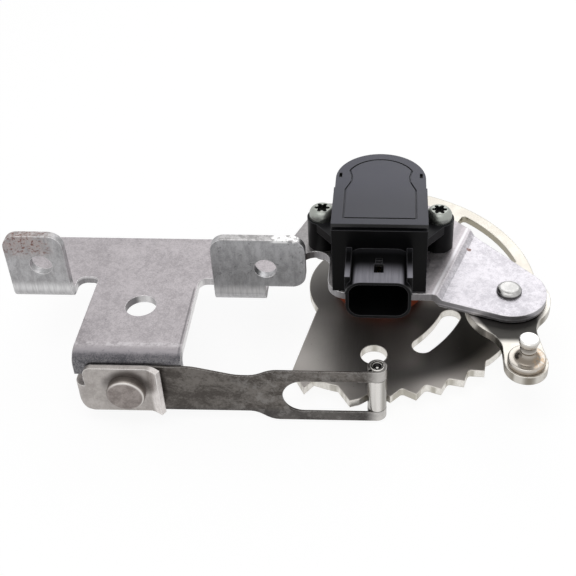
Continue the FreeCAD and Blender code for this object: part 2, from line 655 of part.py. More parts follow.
def sensor_rotor():
    """The moulded rotor: a flange on the detent plate and a cup that holds the magnet inside the case."""
    bore = d.shaft_radius + d.rotor_gap / 2
    cup = d.rotor_top - d.magnet_thick
    return turned("sensor_rotor", [
        (d.hub_radius, 0), (d.rotor_flange_radius, 0), (d.rotor_flange_radius, d.rotor_flange),
        (d.rotor_radius, d.rotor_flange), (d.rotor_radius, d.rotor_top), (d.magnet_radius, d.rotor_top),
        (d.magnet_radius, cup), (0, cup), (0, d.rotor_bore_top), (bore, d.rotor_bore_top), (bore, d.hub_top),
        (d.hub_radius, d.hub_top),
    ])


def rotor_magnet():
    """The disc magnet in the rotor's cup."""
    cup = d.rotor_top - d.magnet_thick
    return turned("rotor_magnet", [
        (0, cup), (d.magnet_radius, cup), (d.magnet_radius, d.rotor_top), (0, d.rotor_top),
    ])


def shaft_hub():
    """The flanged steel sleeve, pressed into the plate, that takes the manual shaft."""
    low = -d.plate_thick - d.hub_flange
    return turned("shaft_hub", [
        (d.shaft_radius, low), (d.hub_flange_radius, low), (d.hub_flange_radius, -d.plate_thick),
        (d.hub_radius, -d.plate_thick), (d.hub_radius, d.hub_top), (d.shaft_radius, d.hub_top),
    ])


def detent_plate():
    """The comb plate: valleys for the roller by a polar pattern, a cam slot, a window and a thin rim."""
    body = new_body("detent_plate")
    plan = sketch_on(body, "XY_Plane", "comb_plan", -d.plate_thick)
    rim = (-d.rim_centre_x, 0)
    rim_middle = (d.rim_end_angle - d.rim_start_angle) / 2
    last_tooth = d.comb_pitch * (d.comb_stops - 0.48) - 90
    first_tooth = -90 + d.comb_pitch * -0.48
    rim_inner = d.rim_radius - d.rim_width
    run_out = d.roller_orbit - d.run_out_drop
    run_out_start = d.comb_pitch * (d.comb_stops - 2) - 90 - d.run_out_lead
    heel_cut = d.roller_orbit - d.heel_cut_drop
    loop(plan, [
        polar(d.lobe_radius, -d.lobe_end_angle) + (d.lobe_radius, 1),
        (-d.flank_x, -d.flank_y),
        polar(d.roller_orbit + d.heel_rise, -d.heel_angle),
        polar(heel_cut, -d.heel_cut_start),
        polar(heel_cut, -d.heel_cut_end) + (heel_cut, 1),
        polar(d.roller_orbit + d.stop_rise, -d.stop_angle),
        polar(d.roller_orbit, first_tooth),
        polar(d.roller_orbit, run_out_start) + (d.roller_orbit, 1),
        polar(run_out, run_out_start),
        polar(run_out, last_tooth) + (run_out, 1),
        polar(d.rim_radius, -d.rim_start_angle, rim),
        polar(d.rim_radius, rim_middle, rim) + (d.rim_radius, 1),
        polar(d.rim_radius, d.rim_end_angle, rim) + (d.rim_radius, 1),
        polar(d.lobe_radius, 100),
        polar(d.lobe_radius, 180) + (d.lobe_radius, 1),
    ])
    window = [
        polar(rim_inner, d.window_start_angle, rim),
        polar(rim_inner, d.window_end_angle, rim) + (rim_inner, 1),
        polar(d.window_inner, d.window_end_angle - 3),
        polar(d.window_inner, d.window_start_angle + 4) + (d.window_inner, -1),
    ]
    loop(plan, window)
    centre = (-d.slot_centre_x, d.slot_centre_y)
    half = d.slot_width / 2
    loop(plan, [
        polar(d.slot_radius + half, -d.slot_front_angle, centre) + (half + 0.02, 1),
        polar(d.slot_radius + half, -d.slot_back_angle, centre) + (d.slot_radius + half, 1),
        polar(d.slot_radius - half, -d.slot_back_angle, centre) + (half + 0.02, 1),
        polar(d.slot_radius - half, -d.slot_front_angle, centre) + (d.slot_radius - half, -1),
    ])
    ring(plan, -d.plate_hole_x, -d.plate_hole_y, d.plate_hole_radius)
    ring(plan, 0, 0, d.hub_radius)
    pad(body, plan, d.plate_thick)
    round_edges(body, "z", [corner[:2] for corner in window], d.relief_radius, "window_rounds")
    valley = sketch_on(body, "XY_Plane", "comb_valley")
    sine = polar(1, d.valley_angle)[1]
    reach = d.roller_radius + d.comb_gap
    centre = (0, -(d.roller_orbit - (reach - d.valley_round) / sine))
    right = polar(d.valley_round, d.valley_angle, centre)
    left = polar(d.valley_round, -d.valley_angle + 180, centre)
    loop(valley, [
        polar(d.valley_flank, -d.valley_angle - 90, left), polar(d.valley_flank, d.valley_angle - 90, right),
        right, left + (d.valley_round, 1),
    ])
    cut = pocket(body, valley, d.plate_thick)
    spread(body, cut, d.comb_pitch * (d.comb_stops - 1), d.comb_stops)
    return body


def detent_spring():
    """The leaf: a strip with a waist and a fork, each prong ending in an eye curled back round the pin."""
    body = new_body("detent_spring")
    leaf = sketch_on(body, "XZ_Plane", "leaf_outline", leaf_back)
    half = (gap_low + gap_high) / 2
    loop(leaf, [
        (-d.strip_end, -d.strip_low), (-d.waist_right, -d.strip_low), (-d.fork_root, -d.fork_low),
        (0, -d.fork_low), (0, -gap_low), (-d.gap_end + half, -gap_low),
        (-d.gap_end + half, gap_high, half + 0.02, -1), (0, gap_high), (0, d.fork_high),
        (-d.fork_root, d.fork_high), (-d.waist_right, d.waist_high), (-d.waist_left, d.waist_high),
        (-d.strip_right, d.strip_high), (-d.strip_end, d.strip_high),
    ])
    ring(leaf, -d.rivet_x, d.rivet_height, d.rivet_radius + d.run_gap)
    pad(body, leaf, d.leaf_thick)
    waist = [(-d.waist_right, -d.strip_low), (-d.fork_root, -d.fork_low), (-d.fork_root, d.fork_high),
             (-d.waist_right, d.waist_high), (-d.waist_left, d.waist_high), (-d.strip_right, d.strip_high)]
    round_edges(body, "y", waist, d.relief_radius, "waist_rounds")
    axis = (0, -d.roller_orbit)
    middle = (d.eye_curl - 90) / 2
    for word, low, high in (("low", -d.fork_low, -gap_low), ("high", gap_high, d.fork_high)):
        eye = sketch_on(body, "XY_Plane", f"eye_{word}", low)
        loop(eye, [
            polar(d.roller_radius, -90, axis),
            polar(d.roller_radius, middle, axis) + (d.roller_radius, 1),
            polar(d.roller_radius, d.eye_curl, axis) + (d.roller_radius, 1),
            polar(eye_inner, d.eye_curl, axis),
            polar(eye_inner, middle, axis) + (eye_inner, -1),
            polar(eye_inner, -90, axis) + (eye_inner, -1),
        ])
        pad(body, eye, high - low)
    return body


def roller_pin():
    """The pin through both eyes and the roller."""
    low, high = -d.fork_low - d.eye_margin, d.fork_high + d.eye_margin
    profile = [(0, low), (pin_radius, low), (pin_radius, high), (0, high)]
    return turned("roller_pin", profile, 0, -d.roller_orbit)


def detent_roller():
    """The roller that drops into the comb's valleys."""
    inner = pin_radius + d.run_gap
    return turned("detent_roller", [
        (inner, -d.roller_low), (d.roller_radius, -d.roller_low), (d.roller_radius, d.roller_high),
        (inner, d.roller_high),
    ], 0, -d.roller_orbit)


def spring_clamp():
    """The clamp plate: flat on the leaf, flared forward at its right edge, hooked back at its left."""
    body = new_body("spring_clamp")
    length = root(d.lip_out * d.lip_out + d.lip_run * d.lip_run)
    shift_x = d.clamp_thick * d.lip_out / length
    shift_y = d.clamp_thick * d.lip_run / length
    inner_x = -d.clamp_right - (d.clamp_thick * (length - d.lip_run)) / d.lip_out
    end = (-d.clamp_right + d.lip_run, -leaf_front - d.lip_out)
    plan = sketch_on(body, "XY_Plane", "clamp_section", -d.clamp_low)
    loop(plan, [
        (-d.clamp_left, -clamp_front), (inner_x, -clamp_front), (end[0] - shift_x, end[1] - shift_y), end,
        (-d.clamp_right, -leaf_front), (-d.clamp_left, -leaf_front),
    ])
    pad(body, plan, d.clamp_low + d.clamp_high)
    round_edges(body, "y", [(-d.clamp_left, d.clamp_high)], d.clamp_round, "clamp_round")
    round_edges(body, "z", [(inner_x, -clamp_front)], d.lip_bend, "lip_inside")
    round_edges(body, "z", [(-d.clamp_right, -leaf_front)], d.lip_bend + d.clamp_thick, "lip_outside")
    hook = sketch_on(body, "XY_Plane", "hook_section", -d.clamp_low)
    outer = d.hook_inner + d.clamp_thick
    bend_y = -leaf_front + d.hook_inner
    hook_end = -leaf_front + d.hook_reach
    loop(hook, [
        (-d.clamp_left, -clamp_front), (-d.clamp_left - outer, bend_y, outer, -1),
        (-d.clamp_left - outer, hook_end), (-d.clamp_left - d.hook_inner, hook_end),
        (-d.clamp_left - d.hook_inner, bend_y), (-d.clamp_left, -leaf_front, d.hook_inner, 1),
    ])
    pad(body, hook, d.clamp_low + d.hook_high)
    # the hook's lower corner is rounded off, a hair past both of its edges
    corner = sketch_on(body, "XZ_Plane", "hook_corner", clamp_front + 1)
    left, low = -d.clamp_left - outer, -d.clamp_low
    centre = (left + d.hook_corner - 0.1, low + d.hook_corner - 0.1)
    loop(corner, [
        (left - 1, low - 1), (centre[0], low - 1), polar(d.hook_corner, -90, centre),
        polar(d.hook_corner, 180, centre) + (d.hook_corner, -1), (left - 1, centre[1]),
    ])
    pocket(body, corner, d.clamp_thick + d.hook_reach + 2)
    hole = sketch_on(body, "XZ_Plane", "clamp_hole", clamp_front + 1)
    ring(hole, -d.rivet_x, d.rivet_height, d.rivet_radius)
    pocket(body, hole, d.clamp_thick + 1.5)
    return body


def spring_rivet():
    """The rivet that holds clamp, leaf and flange together; it is turned about a line along Y."""
    body = new_body("spring_rivet")
    face = -clamp_front - d.rivet_head
    back = -leaf_back + d.sheet_thick
    sketch = sketch_on(body, "XY_Plane", "rivet_profile")
    loop(sketch, [
        (0, face), (d.rivet_head_radius - d.rivet_rim, face), (d.rivet_head_radius, face + d.rivet_rim),
        (d.rivet_head_radius, -clamp_front), (d.rivet_radius, -clamp_front), (d.rivet_radius, back),
        (d.rivet_tail_radius, back), (d.rivet_tail_radius * 0.8, back + d.rivet_tail),
        (0, back + d.rivet_tail),
    ])
    revolve(body, sketch)
    place(body, -d.rivet_x, 0, d.rivet_height)
    return body


def pivot_rivet():
    """The rivet at the bracket's tip on which the valve lever swings."""
    head, shank = d.pivot_head_radius, d.pivot_radius
    tail = lever_low - d.side_gap
    return turned("pivot_rivet", [
        (0, tail - d.pivot_head), (head, tail - d.pivot_head), (head, tail), (shank, tail), (shank, tip_top),
        (head, tip_top), (head, tip_top + d.pivot_head * 0.5),
        (head * 0.7, tip_top + d.pivot_head, head * 0.45, 1),
        (0, tip_top + d.pivot_head),
    ], d.tip_x, -d.tip_y)


def valve_lever():
    """The lever under the tip: a bell-shaped head round the rivet, a neck and a round boss for the stud."""
    body = new_body("valve_lever")
    plan = sketch_on(body, "XY_Plane", "lever_plan", lever_low)
    pivot = (d.tip_x, -d.tip_y)
    head, boss = d.lever_head_radius, d.lever_boss_radius
    neck_right = d.stud_x + d.lever_neck_half * 0.9
    loop(plan, [
        polar(head * 0.93, -46, pivot) + (boss * 1.5, -1),
        polar(head * 0.97, 90, pivot) + (head * 0.955, 1),
        polar(head, 195, pivot) + (head, 1),
        (d.lever_flank_x, -d.lever_flank_y, head * 1.1, 1),
        (d.stud_x - boss, -d.lever_neck_y, boss * 1.5, -1),
        (d.stud_x - boss, -d.stud_y),
        (d.stud_x, -d.stud_y - boss, boss, 1),
        (d.stud_x + boss, -d.stud_y, boss, 1),
        (neck_right, -d.lever_flank_y - d.lever_neck_half * 0.4),
    ])
    ring(plan, d.tip_x, -d.tip_y, d.pivot_radius + d.run_gap)
    ring(plan, d.stud_x, -d.stud_y, d.stud_shank)
    pad(body, plan, d.lever_thick)
    return body


def lever_stud():
    """The headed stud riveted into the lever's boss."""
    shank, tail = d.stud_shank, d.stud_shank + d.stud_tail
    collar = lever_top + d.stud_flange
    neck_low = collar + d.stud_cone_high
    neck_high = neck_low + d.stud_neck_high
    top = neck_high + d.stud_tip_high
    return turned("lever_stud", [
        (0, lever_low - d.stud_tail), (tail, lever_low - d.stud_tail), (tail, lever_low), (shank, lever_low),
        (shank, lever_top), (d.stud_flange_radius, lever_top), (d.stud_flange_radius, collar),
        (d.stud_cone, collar), (d.stud_neck, neck_low), (d.stud_neck, neck_high),
        (d.stud_radius, neck_high), (d.stud_radius, top), (0, top),
    ], d.stud_x, -d.stud_y)


nodes = [
    main_bracket(), sensor_housing(), sensor_cover(), sensor_screws(), ear_sleeves(), connector_pins(),
    circuit_board(), sensor_chip(), spring_clamp(), spring_rivet(), pivot_rivet(),
    detent_plate(), shaft_hub(), sensor_rotor(), rotor_magnet(),
    detent_spring(), roller_pin(), detent_roller(), valve_lever(), lever_stud(),
]
doc.recompute()
for item in doc.Objects:
    if "Invalid" in item.State or "Error" in item.State:
        raise RuntimeError(f"{item.Label} did not build: {item.State}")
for node in nodes:
    if node.Shape.isNull() or not node.Shape.isValid():
        raise RuntimeError(f"{node.Label} has no valid shape")
    node.Shape.exportStep(f"parts/{node.Label}.step")
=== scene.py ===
"""Looks of the transmission range sensor: bracket, moulded sensor, toothed lever, leaf spring and roller.

Lengths are written in millimetres and turned into metres where a mesh or a lamp is made.
"""

from types import SimpleNamespace

import bpy
import numpy as np
from mathutils import Matrix, Vector


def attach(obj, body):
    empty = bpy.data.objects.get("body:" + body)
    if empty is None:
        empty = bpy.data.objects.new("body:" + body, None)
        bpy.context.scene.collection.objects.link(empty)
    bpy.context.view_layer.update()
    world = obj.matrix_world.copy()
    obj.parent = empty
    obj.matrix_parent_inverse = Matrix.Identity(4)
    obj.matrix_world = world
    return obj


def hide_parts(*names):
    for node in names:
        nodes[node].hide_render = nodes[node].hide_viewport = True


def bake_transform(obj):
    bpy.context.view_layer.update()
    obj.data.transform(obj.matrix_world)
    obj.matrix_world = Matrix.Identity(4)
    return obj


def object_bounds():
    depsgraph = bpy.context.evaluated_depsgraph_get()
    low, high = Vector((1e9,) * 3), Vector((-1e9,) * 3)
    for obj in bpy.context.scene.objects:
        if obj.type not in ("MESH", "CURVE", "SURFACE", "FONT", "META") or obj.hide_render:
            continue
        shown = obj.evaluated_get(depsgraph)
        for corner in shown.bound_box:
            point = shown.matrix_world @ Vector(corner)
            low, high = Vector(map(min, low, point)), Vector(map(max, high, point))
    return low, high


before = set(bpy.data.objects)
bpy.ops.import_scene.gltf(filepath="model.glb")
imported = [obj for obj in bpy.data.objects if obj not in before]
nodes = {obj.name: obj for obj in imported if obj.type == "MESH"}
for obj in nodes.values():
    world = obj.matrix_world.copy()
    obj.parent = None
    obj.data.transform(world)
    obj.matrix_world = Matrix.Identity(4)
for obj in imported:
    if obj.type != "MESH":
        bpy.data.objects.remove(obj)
cad_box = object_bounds()
scene = bpy.context.scene
MM = 0.001
ROUND_STEPS = 96

# places on the part that finishes and new pieces go by, in millimetres; turns are in radians
SHAFT = (0.0, 0.0)
STEM_MIDDLE = -69.0
STEM_RIGHT = -54.4
STEM_HOLE = (-69.5, -31.5)
LEFT_NOTCH = (-89.5, -16.5)
STEP_TURN = np.radians(19.9)
STEP_FOOT = 20.6
STEP_CREST = 23.3
RUST_SPOT = (28.0, -0.7)
TIP_RIVET = (39.0, -20.5)
STUD = (41.8, -47.7)
STUD_WAIST_Z = 18.9
CLAMP_RIVET_X = -70.0
CLAMP_RIVET_Z = 6.2
ROLLER = (0.0, -50.5)
ROLLER_RADIUS = 2.75
SCREW_X = 18.1


class Value:
    """A socket that takes part in sums: each operator adds a Math node to the socket's own tree."""

    def __init__(self, owner, socket):
        self.owner = owner
        self.socket = socket

    def math(self, operation, first, second):
        return self.owner.node("Math", {"operation": operation}, {0: first, 1: second})

    def __add__(self, other):
        return self.math("ADD", self, other)

    def __sub__(self, other):
        return self.math("SUBTRACT", self, other)

    def __mul__(self, other):
        return self.math("MULTIPLY", self, other)

    def __rsub__(self, other):
        return self.math("SUBTRACT", other, self)

    def most(self, other):
        return self.math("MAXIMUM", self, other)

    def size(self):
        return self.math("ABSOLUTE", self, 0.0)

    def gap(self, place):
        """Distance of the value from a place."""
        return (self - place).size()

    __radd__ = __add__
    __rmul__ = __mul__


class Tree:
    """A node tree under construction."""

    def __init__(self, tree):
        self.tree = tree
        self.tree.nodes.clear()

    def node(self, kind, settings=None, inputs=None, output=0):
        """Adds a node, sets it up, fills or links its inputs and gives back one of its outputs."""
        made = self.tree.nodes.new("ShaderNode" + kind)
        for name, value in (settings or {}).items():
            setattr(made, name, value)
        for name, value in (inputs or {}).items():
            if isinstance(value, Value):
                self.tree.links.new(value.socket, made.inputs[name])
            else:
                made.inputs[name].default_value = value
        return Value(self, made.outputs[output]) if made.outputs else None

    def seen(self):
        """1 for camera, glossy and transmission rays, 0 for the rays that only carry light."""
        kinds = ("Camera", "Glossy", "Transmission")
        camera, glossy, through = (self.node("LightPath", output=f"Is {kind} Ray") for kind in kinds)
        return camera.most(glossy).most(through)


class Paint(Tree):
    """One material under construction, with positions in millimetres in the part's own frame."""

    def __init__(self, name):
        self.material = bpy.data.materials.new(name)
        self.material.use_nodes = True
        super().__init__(self.material.node_tree)
        spot = self.node("TexCoord", output="Object")
        self.spot = self.node("VectorMath", {"operation": "SCALE"}, {0: spot, "Scale": 1 / MM})
        axes = (self.node("SeparateXYZ", inputs={0: self.spot}, output=axis) for axis in range(3))
        self.x, self.y, self.z = axes

    def band(self, value, low, high):
        """Smooth step: 0 where value is at low, 1 where it is at high."""
        return self.node("MapRange", {"interpolation_type": "SMOOTHSTEP"},
                         {"Value": value, "From Min": low, "From Max": high})

    def reach(self, place):
        """Squared distance in plan from a place."""
        off_x = self.x - place[0]
        off_y = self.y - place[1]
        return off_x * off_x + off_y * off_y

    def noise(self, grain, detail=3.0, rough=0.55, stretch=(1, 1, 1), warp=0.0, shift=0.0):
        """Cloudy noise whose features are about grain millimetres wide, longer along stretched axes."""
        scale = [1 / (grain * k) for k in stretch]
        spot = self.node("Mapping", inputs={"Vector": self.spot, "Location": (shift, shift, shift),
                                            "Scale": scale})
        return self.node("TexNoise", inputs={"Vector": spot, "Scale": 1.0, "Detail": detail,
                                             "Roughness": rough, "Distortion": warp})

    def mix(self, factor, first, second):
        """Colour mix: first where factor is 0, second where it is 1."""
        first = first if isinstance(first, Value) else (*first, 1)
        second = second if isinstance(second, Value) else (*second, 1)
        return self.node("Mix", {"data_type": "RGBA"}, {0: factor, 6: first, 7: second}, 2)

    def rounded(self, radius):
        """The normal with edges rounded off to a radius, and a mask that is 1 along those edges, where
        materials paint highlights.
        """
        soft = self.node("Bevel", {"samples": 6}, {"Radius": radius * MM})
        true = self.node("NewGeometry", output="True Normal")
        turn = self.node("VectorMath", {"operation": "DOT_PRODUCT"}, {0: soft, 1: true}, "Value")
        return soft, self.band(turn, 0.985, 0.86)

    def facing(self):
        """How far the surface faces up: 1 on a level top, 0 on a wall, -1 underneath."""
        true = self.node("NewGeometry", output="True Normal")
        return self.node("SeparateXYZ", inputs={0: true}, output=2)

    def finish(self, colour, roughness, metallic, normal, height, relief, deep, **fixed):
        """Ends the material: height is a bump of that relief over a depth in millimetres."""
        bump = {"Height": height, "Strength": relief, "Distance": deep * MM}
        if normal is not None:
            bump["Normal"] = normal
        inputs = {"Base Color": colour, "Roughness": roughness, "Metallic": metallic,
                  "Normal": self.node("Bump", inputs=bump), **fixed}
        shader = self.node("BsdfPrincipled", inputs=inputs)
        self.node("OutputMaterial", inputs={"Surface": shader})
        return self.material


def wear(piece, material):
    """Gives a piece or a CAD node one material."""
    piece.data.materials.clear()
    piece.data.materials.append(material)


def galvanised_sheet():
    """The bracket's zinc-coated sheet: face, cut walls, ears, flange bend, rust, and painted highlights on
    worn edges.
    """
    paint = Paint("galvanised_sheet")
    soft, edge = paint.rounded(0.35)
    zinc = SimpleNamespace(fine=paint.noise(0.4, 4.0, 0.75),
                           flake=paint.noise(1.5, 3.0, 0.65, shift=9.0),
                           cloud=paint.noise(9.0, 3.0, 0.6, shift=3.0),
                           streak=paint.noise(0.5, 3.0, 0.6, (1.0, 1.0, 14.0), shift=6.0),
                           stain=paint.noise(3.0, 6.0, 0.75, (1.0, 1.0, 1.6), 0.3, 11.0))
    zinc.grain = paint.band(zinc.fine * 0.55 + zinc.flake * 0.22 + zinc.cloud * 0.23, 0.41, 0.59)
    zinc.nicks = paint.band(zinc.flake * 0.6 + zinc.fine * 0.4, 0.40, 0.56)
    zinc.along = paint.x * np.cos(STEP_TURN) - paint.y * np.sin(STEP_TURN)
    zinc.on_tip = paint.band(zinc.along, 23.0, 26.0)

    wall = paint.band(paint.facing().size(), 0.75, 0.35)
    colour = paint.mix(wall * 0.85, sheet_face(paint, zinc), sheared_walls(paint, zinc))
    # the ears' fronts, painted darker than the face as shade
    ears = paint.band(paint.x.gap(STEM_MIDDLE), 15.5, 18.0) * paint.band(paint.y, -22.6, -24.4)
    ears = ears * paint.band(paint.x, -14.0, -18.0)
    colour = paint.mix(ears, colour, ear_fronts(paint, zinc))
    colour = flange_bend(paint, zinc, colour)

    # rust on the left ear's top corner, as a haze and as specks, and one spot beside the step
    corner = paint.band(paint.z, 29.0, 34.5) * paint.band(paint.x, -93.0, -97.5)
    haze = corner * paint.band(zinc.stain, 0.35, 0.6)
    colour = paint.mix(haze * 0.45, colour, (0.33, 0.225, 0.195))
    specks = corner * paint.band(paint.noise(0.9, 4.0, 0.7, shift=5.0), 0.52, 0.60)
    colour = paint.mix(specks * 0.8, colour, (0.20, 0.065, 0.042))
    spot = paint.band(paint.reach(RUST_SPOT) + (zinc.fine - 0.5) * 1.6, 0.75, 0.25) * zinc.on_tip
    colour = paint.mix(spot * 0.7, colour, (0.30, 0.10, 0.055))
    rust = specks.most(spot)

    # painted highlight along the rounded edges, brightest where the zinc is nicked
    colour = paint.mix(edge * (0.45 + 0.45 * zinc.nicks), colour, (0.90, 0.89, 0.89))
    rough = 0.34 + 0.16 * zinc.grain + 0.2 * rust
    relief = zinc.fine * 0.6 + zinc.flake * 0.4
    return paint.finish(colour, rough, 0.93 - 0.6 * rust, soft, relief, 0.3, 0.03)


def sheet_face(paint, zinc):
    """The sheet's face: flakes and pits, duller beside the left screw, painted light on the tip past the
    step.
    """
    colour = paint.mix(zinc.grain, (0.372, 0.346, 0.360), (0.545, 0.510, 0.527))
    pits = paint.band(paint.noise(1.2, 2.0, 0.5, shift=21.0), 0.69, 0.75)
    colour = paint.mix(pits * 0.5, colour, (0.20, 0.19, 0.20))
    by_screw = paint.band(paint.x, -31.0, -26.0) * paint.band(paint.x, -6.0, -12.0)
    dull = paint.mix(zinc.grain, (0.23, 0.222, 0.222), (0.345, 0.337, 0.335))
    colour = paint.mix(by_screw * 0.8, colour, dull)
    speckle = paint.band(zinc.flake * 0.32 + zinc.cloud * 0.28 + zinc.fine * 0.40, 0.40, 0.59)
    # painted light: the tip past the step is paler, speckle and all
    pale = paint.mix(speckle, (0.40, 0.386, 0.415), (0.71, 0.689, 0.726))
    colour = paint.mix(zinc.on_tip, colour, pale)
    # painted shade along the foot of the step
    step_foot_shade = paint.band(zinc.along.gap(STEP_FOOT), 1.5, 0.4)
    colour = paint.mix(step_foot_shade * 0.35, colour, (0.20, 0.195, 0.205))
    # painted highlight along the crest of the step
    step_crest_highlight = paint.band(zinc.along.gap(STEP_CREST), 0.7, 0.1)
    colour = paint.mix(step_crest_highlight * 0.6, colour, (0.80, 0.79, 0.82))
    # painted shade line just inside the stem's right edge
    stem_edge_shade = paint.band(paint.x.gap(STEM_RIGHT - 0.75), 0.40, 0.12) * paint.band(paint.y, -22.0, -24.0)
    return paint.mix(stem_edge_shade * 0.55, colour, (0.10, 0.097, 0.10))


def sheared_walls(paint, zinc):
    """The sheet's cut walls: painted light on the left, painted shade near the sensor, with a torn line round
    the tip.

    The stem's right side has a painted highlight, its hole painted shade on the left and a painted highlight
    in the middle, and the left notch painted shade below its upper rim.
    """
    cut = paint.band(zinc.streak, 0.2, 0.8)
    pale = paint.mix(cut, (0.52, 0.51, 0.515), (0.74, 0.725, 0.73))
    dark = paint.mix(cut, (0.20, 0.195, 0.205), (0.32, 0.31, 0.32))
    # painted light on the walls to the left, painted shade on those near the sensor
    walls = paint.mix(paint.band(paint.x, -46.0, -30.0), pale, dark)
    tear = 13.9
    burnished = paint.band(paint.z, tear - 0.5, tear + 0.5) * zinc.on_tip
    walls = paint.mix(burnished * 0.6, walls, (0.42, 0.415, 0.44))
    torn_line = paint.band(paint.z.gap(tear), 0.35, 0.1) * zinc.on_tip
    walls = paint.mix(torn_line * 0.7, walls, (0.70, 0.69, 0.72))
    # painted highlight on the stem's right wall
    stem_side_highlight = paint.band(paint.x.gap(STEM_RIGHT), 1.2, 0.6)
    walls = paint.mix(stem_side_highlight, walls, (0.95, 0.94, 0.94))
    # painted shade on the left of the stem hole's wall, painted highlight in its middle
    across = paint.x - STEM_HOLE[0]
    lit = paint.mix(paint.band(across, -0.8, -2.6), (0.86, 0.85, 0.85), (0.16, 0.155, 0.16))
    lit = paint.mix(paint.band(across, 1.0, 3.2), lit, (0.40, 0.39, 0.395))
    in_hole = paint.band(paint.reach(STEM_HOLE), 27.0, 22.0)
    walls = paint.mix(in_hole, walls, lit)
    # painted shade in the left notch below its upper rim
    notch = paint.band(paint.x.gap(LEFT_NOTCH[0]), 5.0, 4.2)
    notch = notch * paint.band(paint.y.gap(LEFT_NOTCH[1]), 4.5, 3.7)
    below_rim = paint.band(paint.z, 16.5, 16.1)
    shade = paint.mix(cut, (0.13, 0.125, 0.13), (0.24, 0.235, 0.24))
    return paint.mix(notch * below_rim * 0.85, walls, shade)


def ear_fronts(paint, zinc):
    """The ears' fronts: blotched and painted darker as shade, with painted light on their bend and nicks
    along their tops.
    """
    blotch = paint.band(zinc.stain * 0.55 + zinc.fine * 0.35 + zinc.streak * 0.1, 0.39, 0.61)
    # blotched tones, painted darker than the face as shade
    left = paint.mix(blotch, (0.29, 0.285, 0.29), (0.48, 0.475, 0.485))
    right = paint.mix(blotch, (0.30, 0.299, 0.307), (0.485, 0.483, 0.495))
    spots = paint.band(paint.noise(1.6, 3.0, 0.6, shift=17.0), 0.60, 0.70)
    right = paint.mix(spots * 0.6, right, (0.15, 0.148, 0.15))
    ear = paint.mix(paint.band(paint.x, -75.0, -60.0), left, right)
    # painted light streaked over the bend at the ears' foot
    bend = paint.band(paint.z, 21.8, 19.0)
    bend_highlight = paint.mix(paint.band(zinc.streak, 0.25, 0.75), (0.53, 0.525, 0.53), (0.72, 0.715, 0.72))
    ear = paint.mix(bend, ear, bend_highlight)
    # dimmer painted light on the lower part of that bend
    below = paint.band(paint.z, 18.8, 17.0)
    streaked_sheen = paint.mix(paint.band(zinc.streak, 0.3, 0.7), (0.40, 0.395, 0.40), (0.52, 0.515, 0.52))
    ear = paint.mix(below, ear, streaked_sheen)
    # painted shade line at the bottom of the bend
    foot_shade_line = paint.band(paint.z, 15.9, 15.2)
    ear = paint.mix(foot_shade_line, ear, (0.20, 0.195, 0.20))
    top = paint.band(paint.z, 37.3, 37.8)
    ear = paint.mix(top, ear, paint.mix(zinc.nicks, (0.34, 0.33, 0.33), (0.56, 0.55, 0.55)))
    # worn nicks on the ear's top edge, painted white as highlights
    nick_highlight = paint.band(paint.x, -31.5, -29.8) * paint.band(zinc.flake, 0.46, 0.52)
    return paint.mix(paint.band(paint.z, 36.6, 37.4) * nick_highlight, ear, (0.95, 0.945, 0.94))


def flange_bend(paint, zinc, colour):
    """The bend down to the spring's flange: a worn pale line, and painted shade below it where the bend turns
    down.
    """
    on_stem = paint.band(paint.x.gap(STEM_MIDDLE), 18.0, 16.0)
    crest = paint.band(paint.y, -46.6, -47.4) * paint.band(paint.y, -48.8, -48.0) * on_stem
    worn = crest * paint.band(zinc.flake, 0.42, 0.6)
    colour = paint.mix(worn * 0.5, colour, (0.70, 0.68, 0.69))
    # painted shade on the part of the bend that turns down to the flange
    turned_down_shade = paint.band(paint.y, -47.8, -51.6) * on_stem
    return paint.mix(turned_down_shade * (0.72 + 0.28 * zinc.grain), colour, (0.085, 0.083, 0.092))


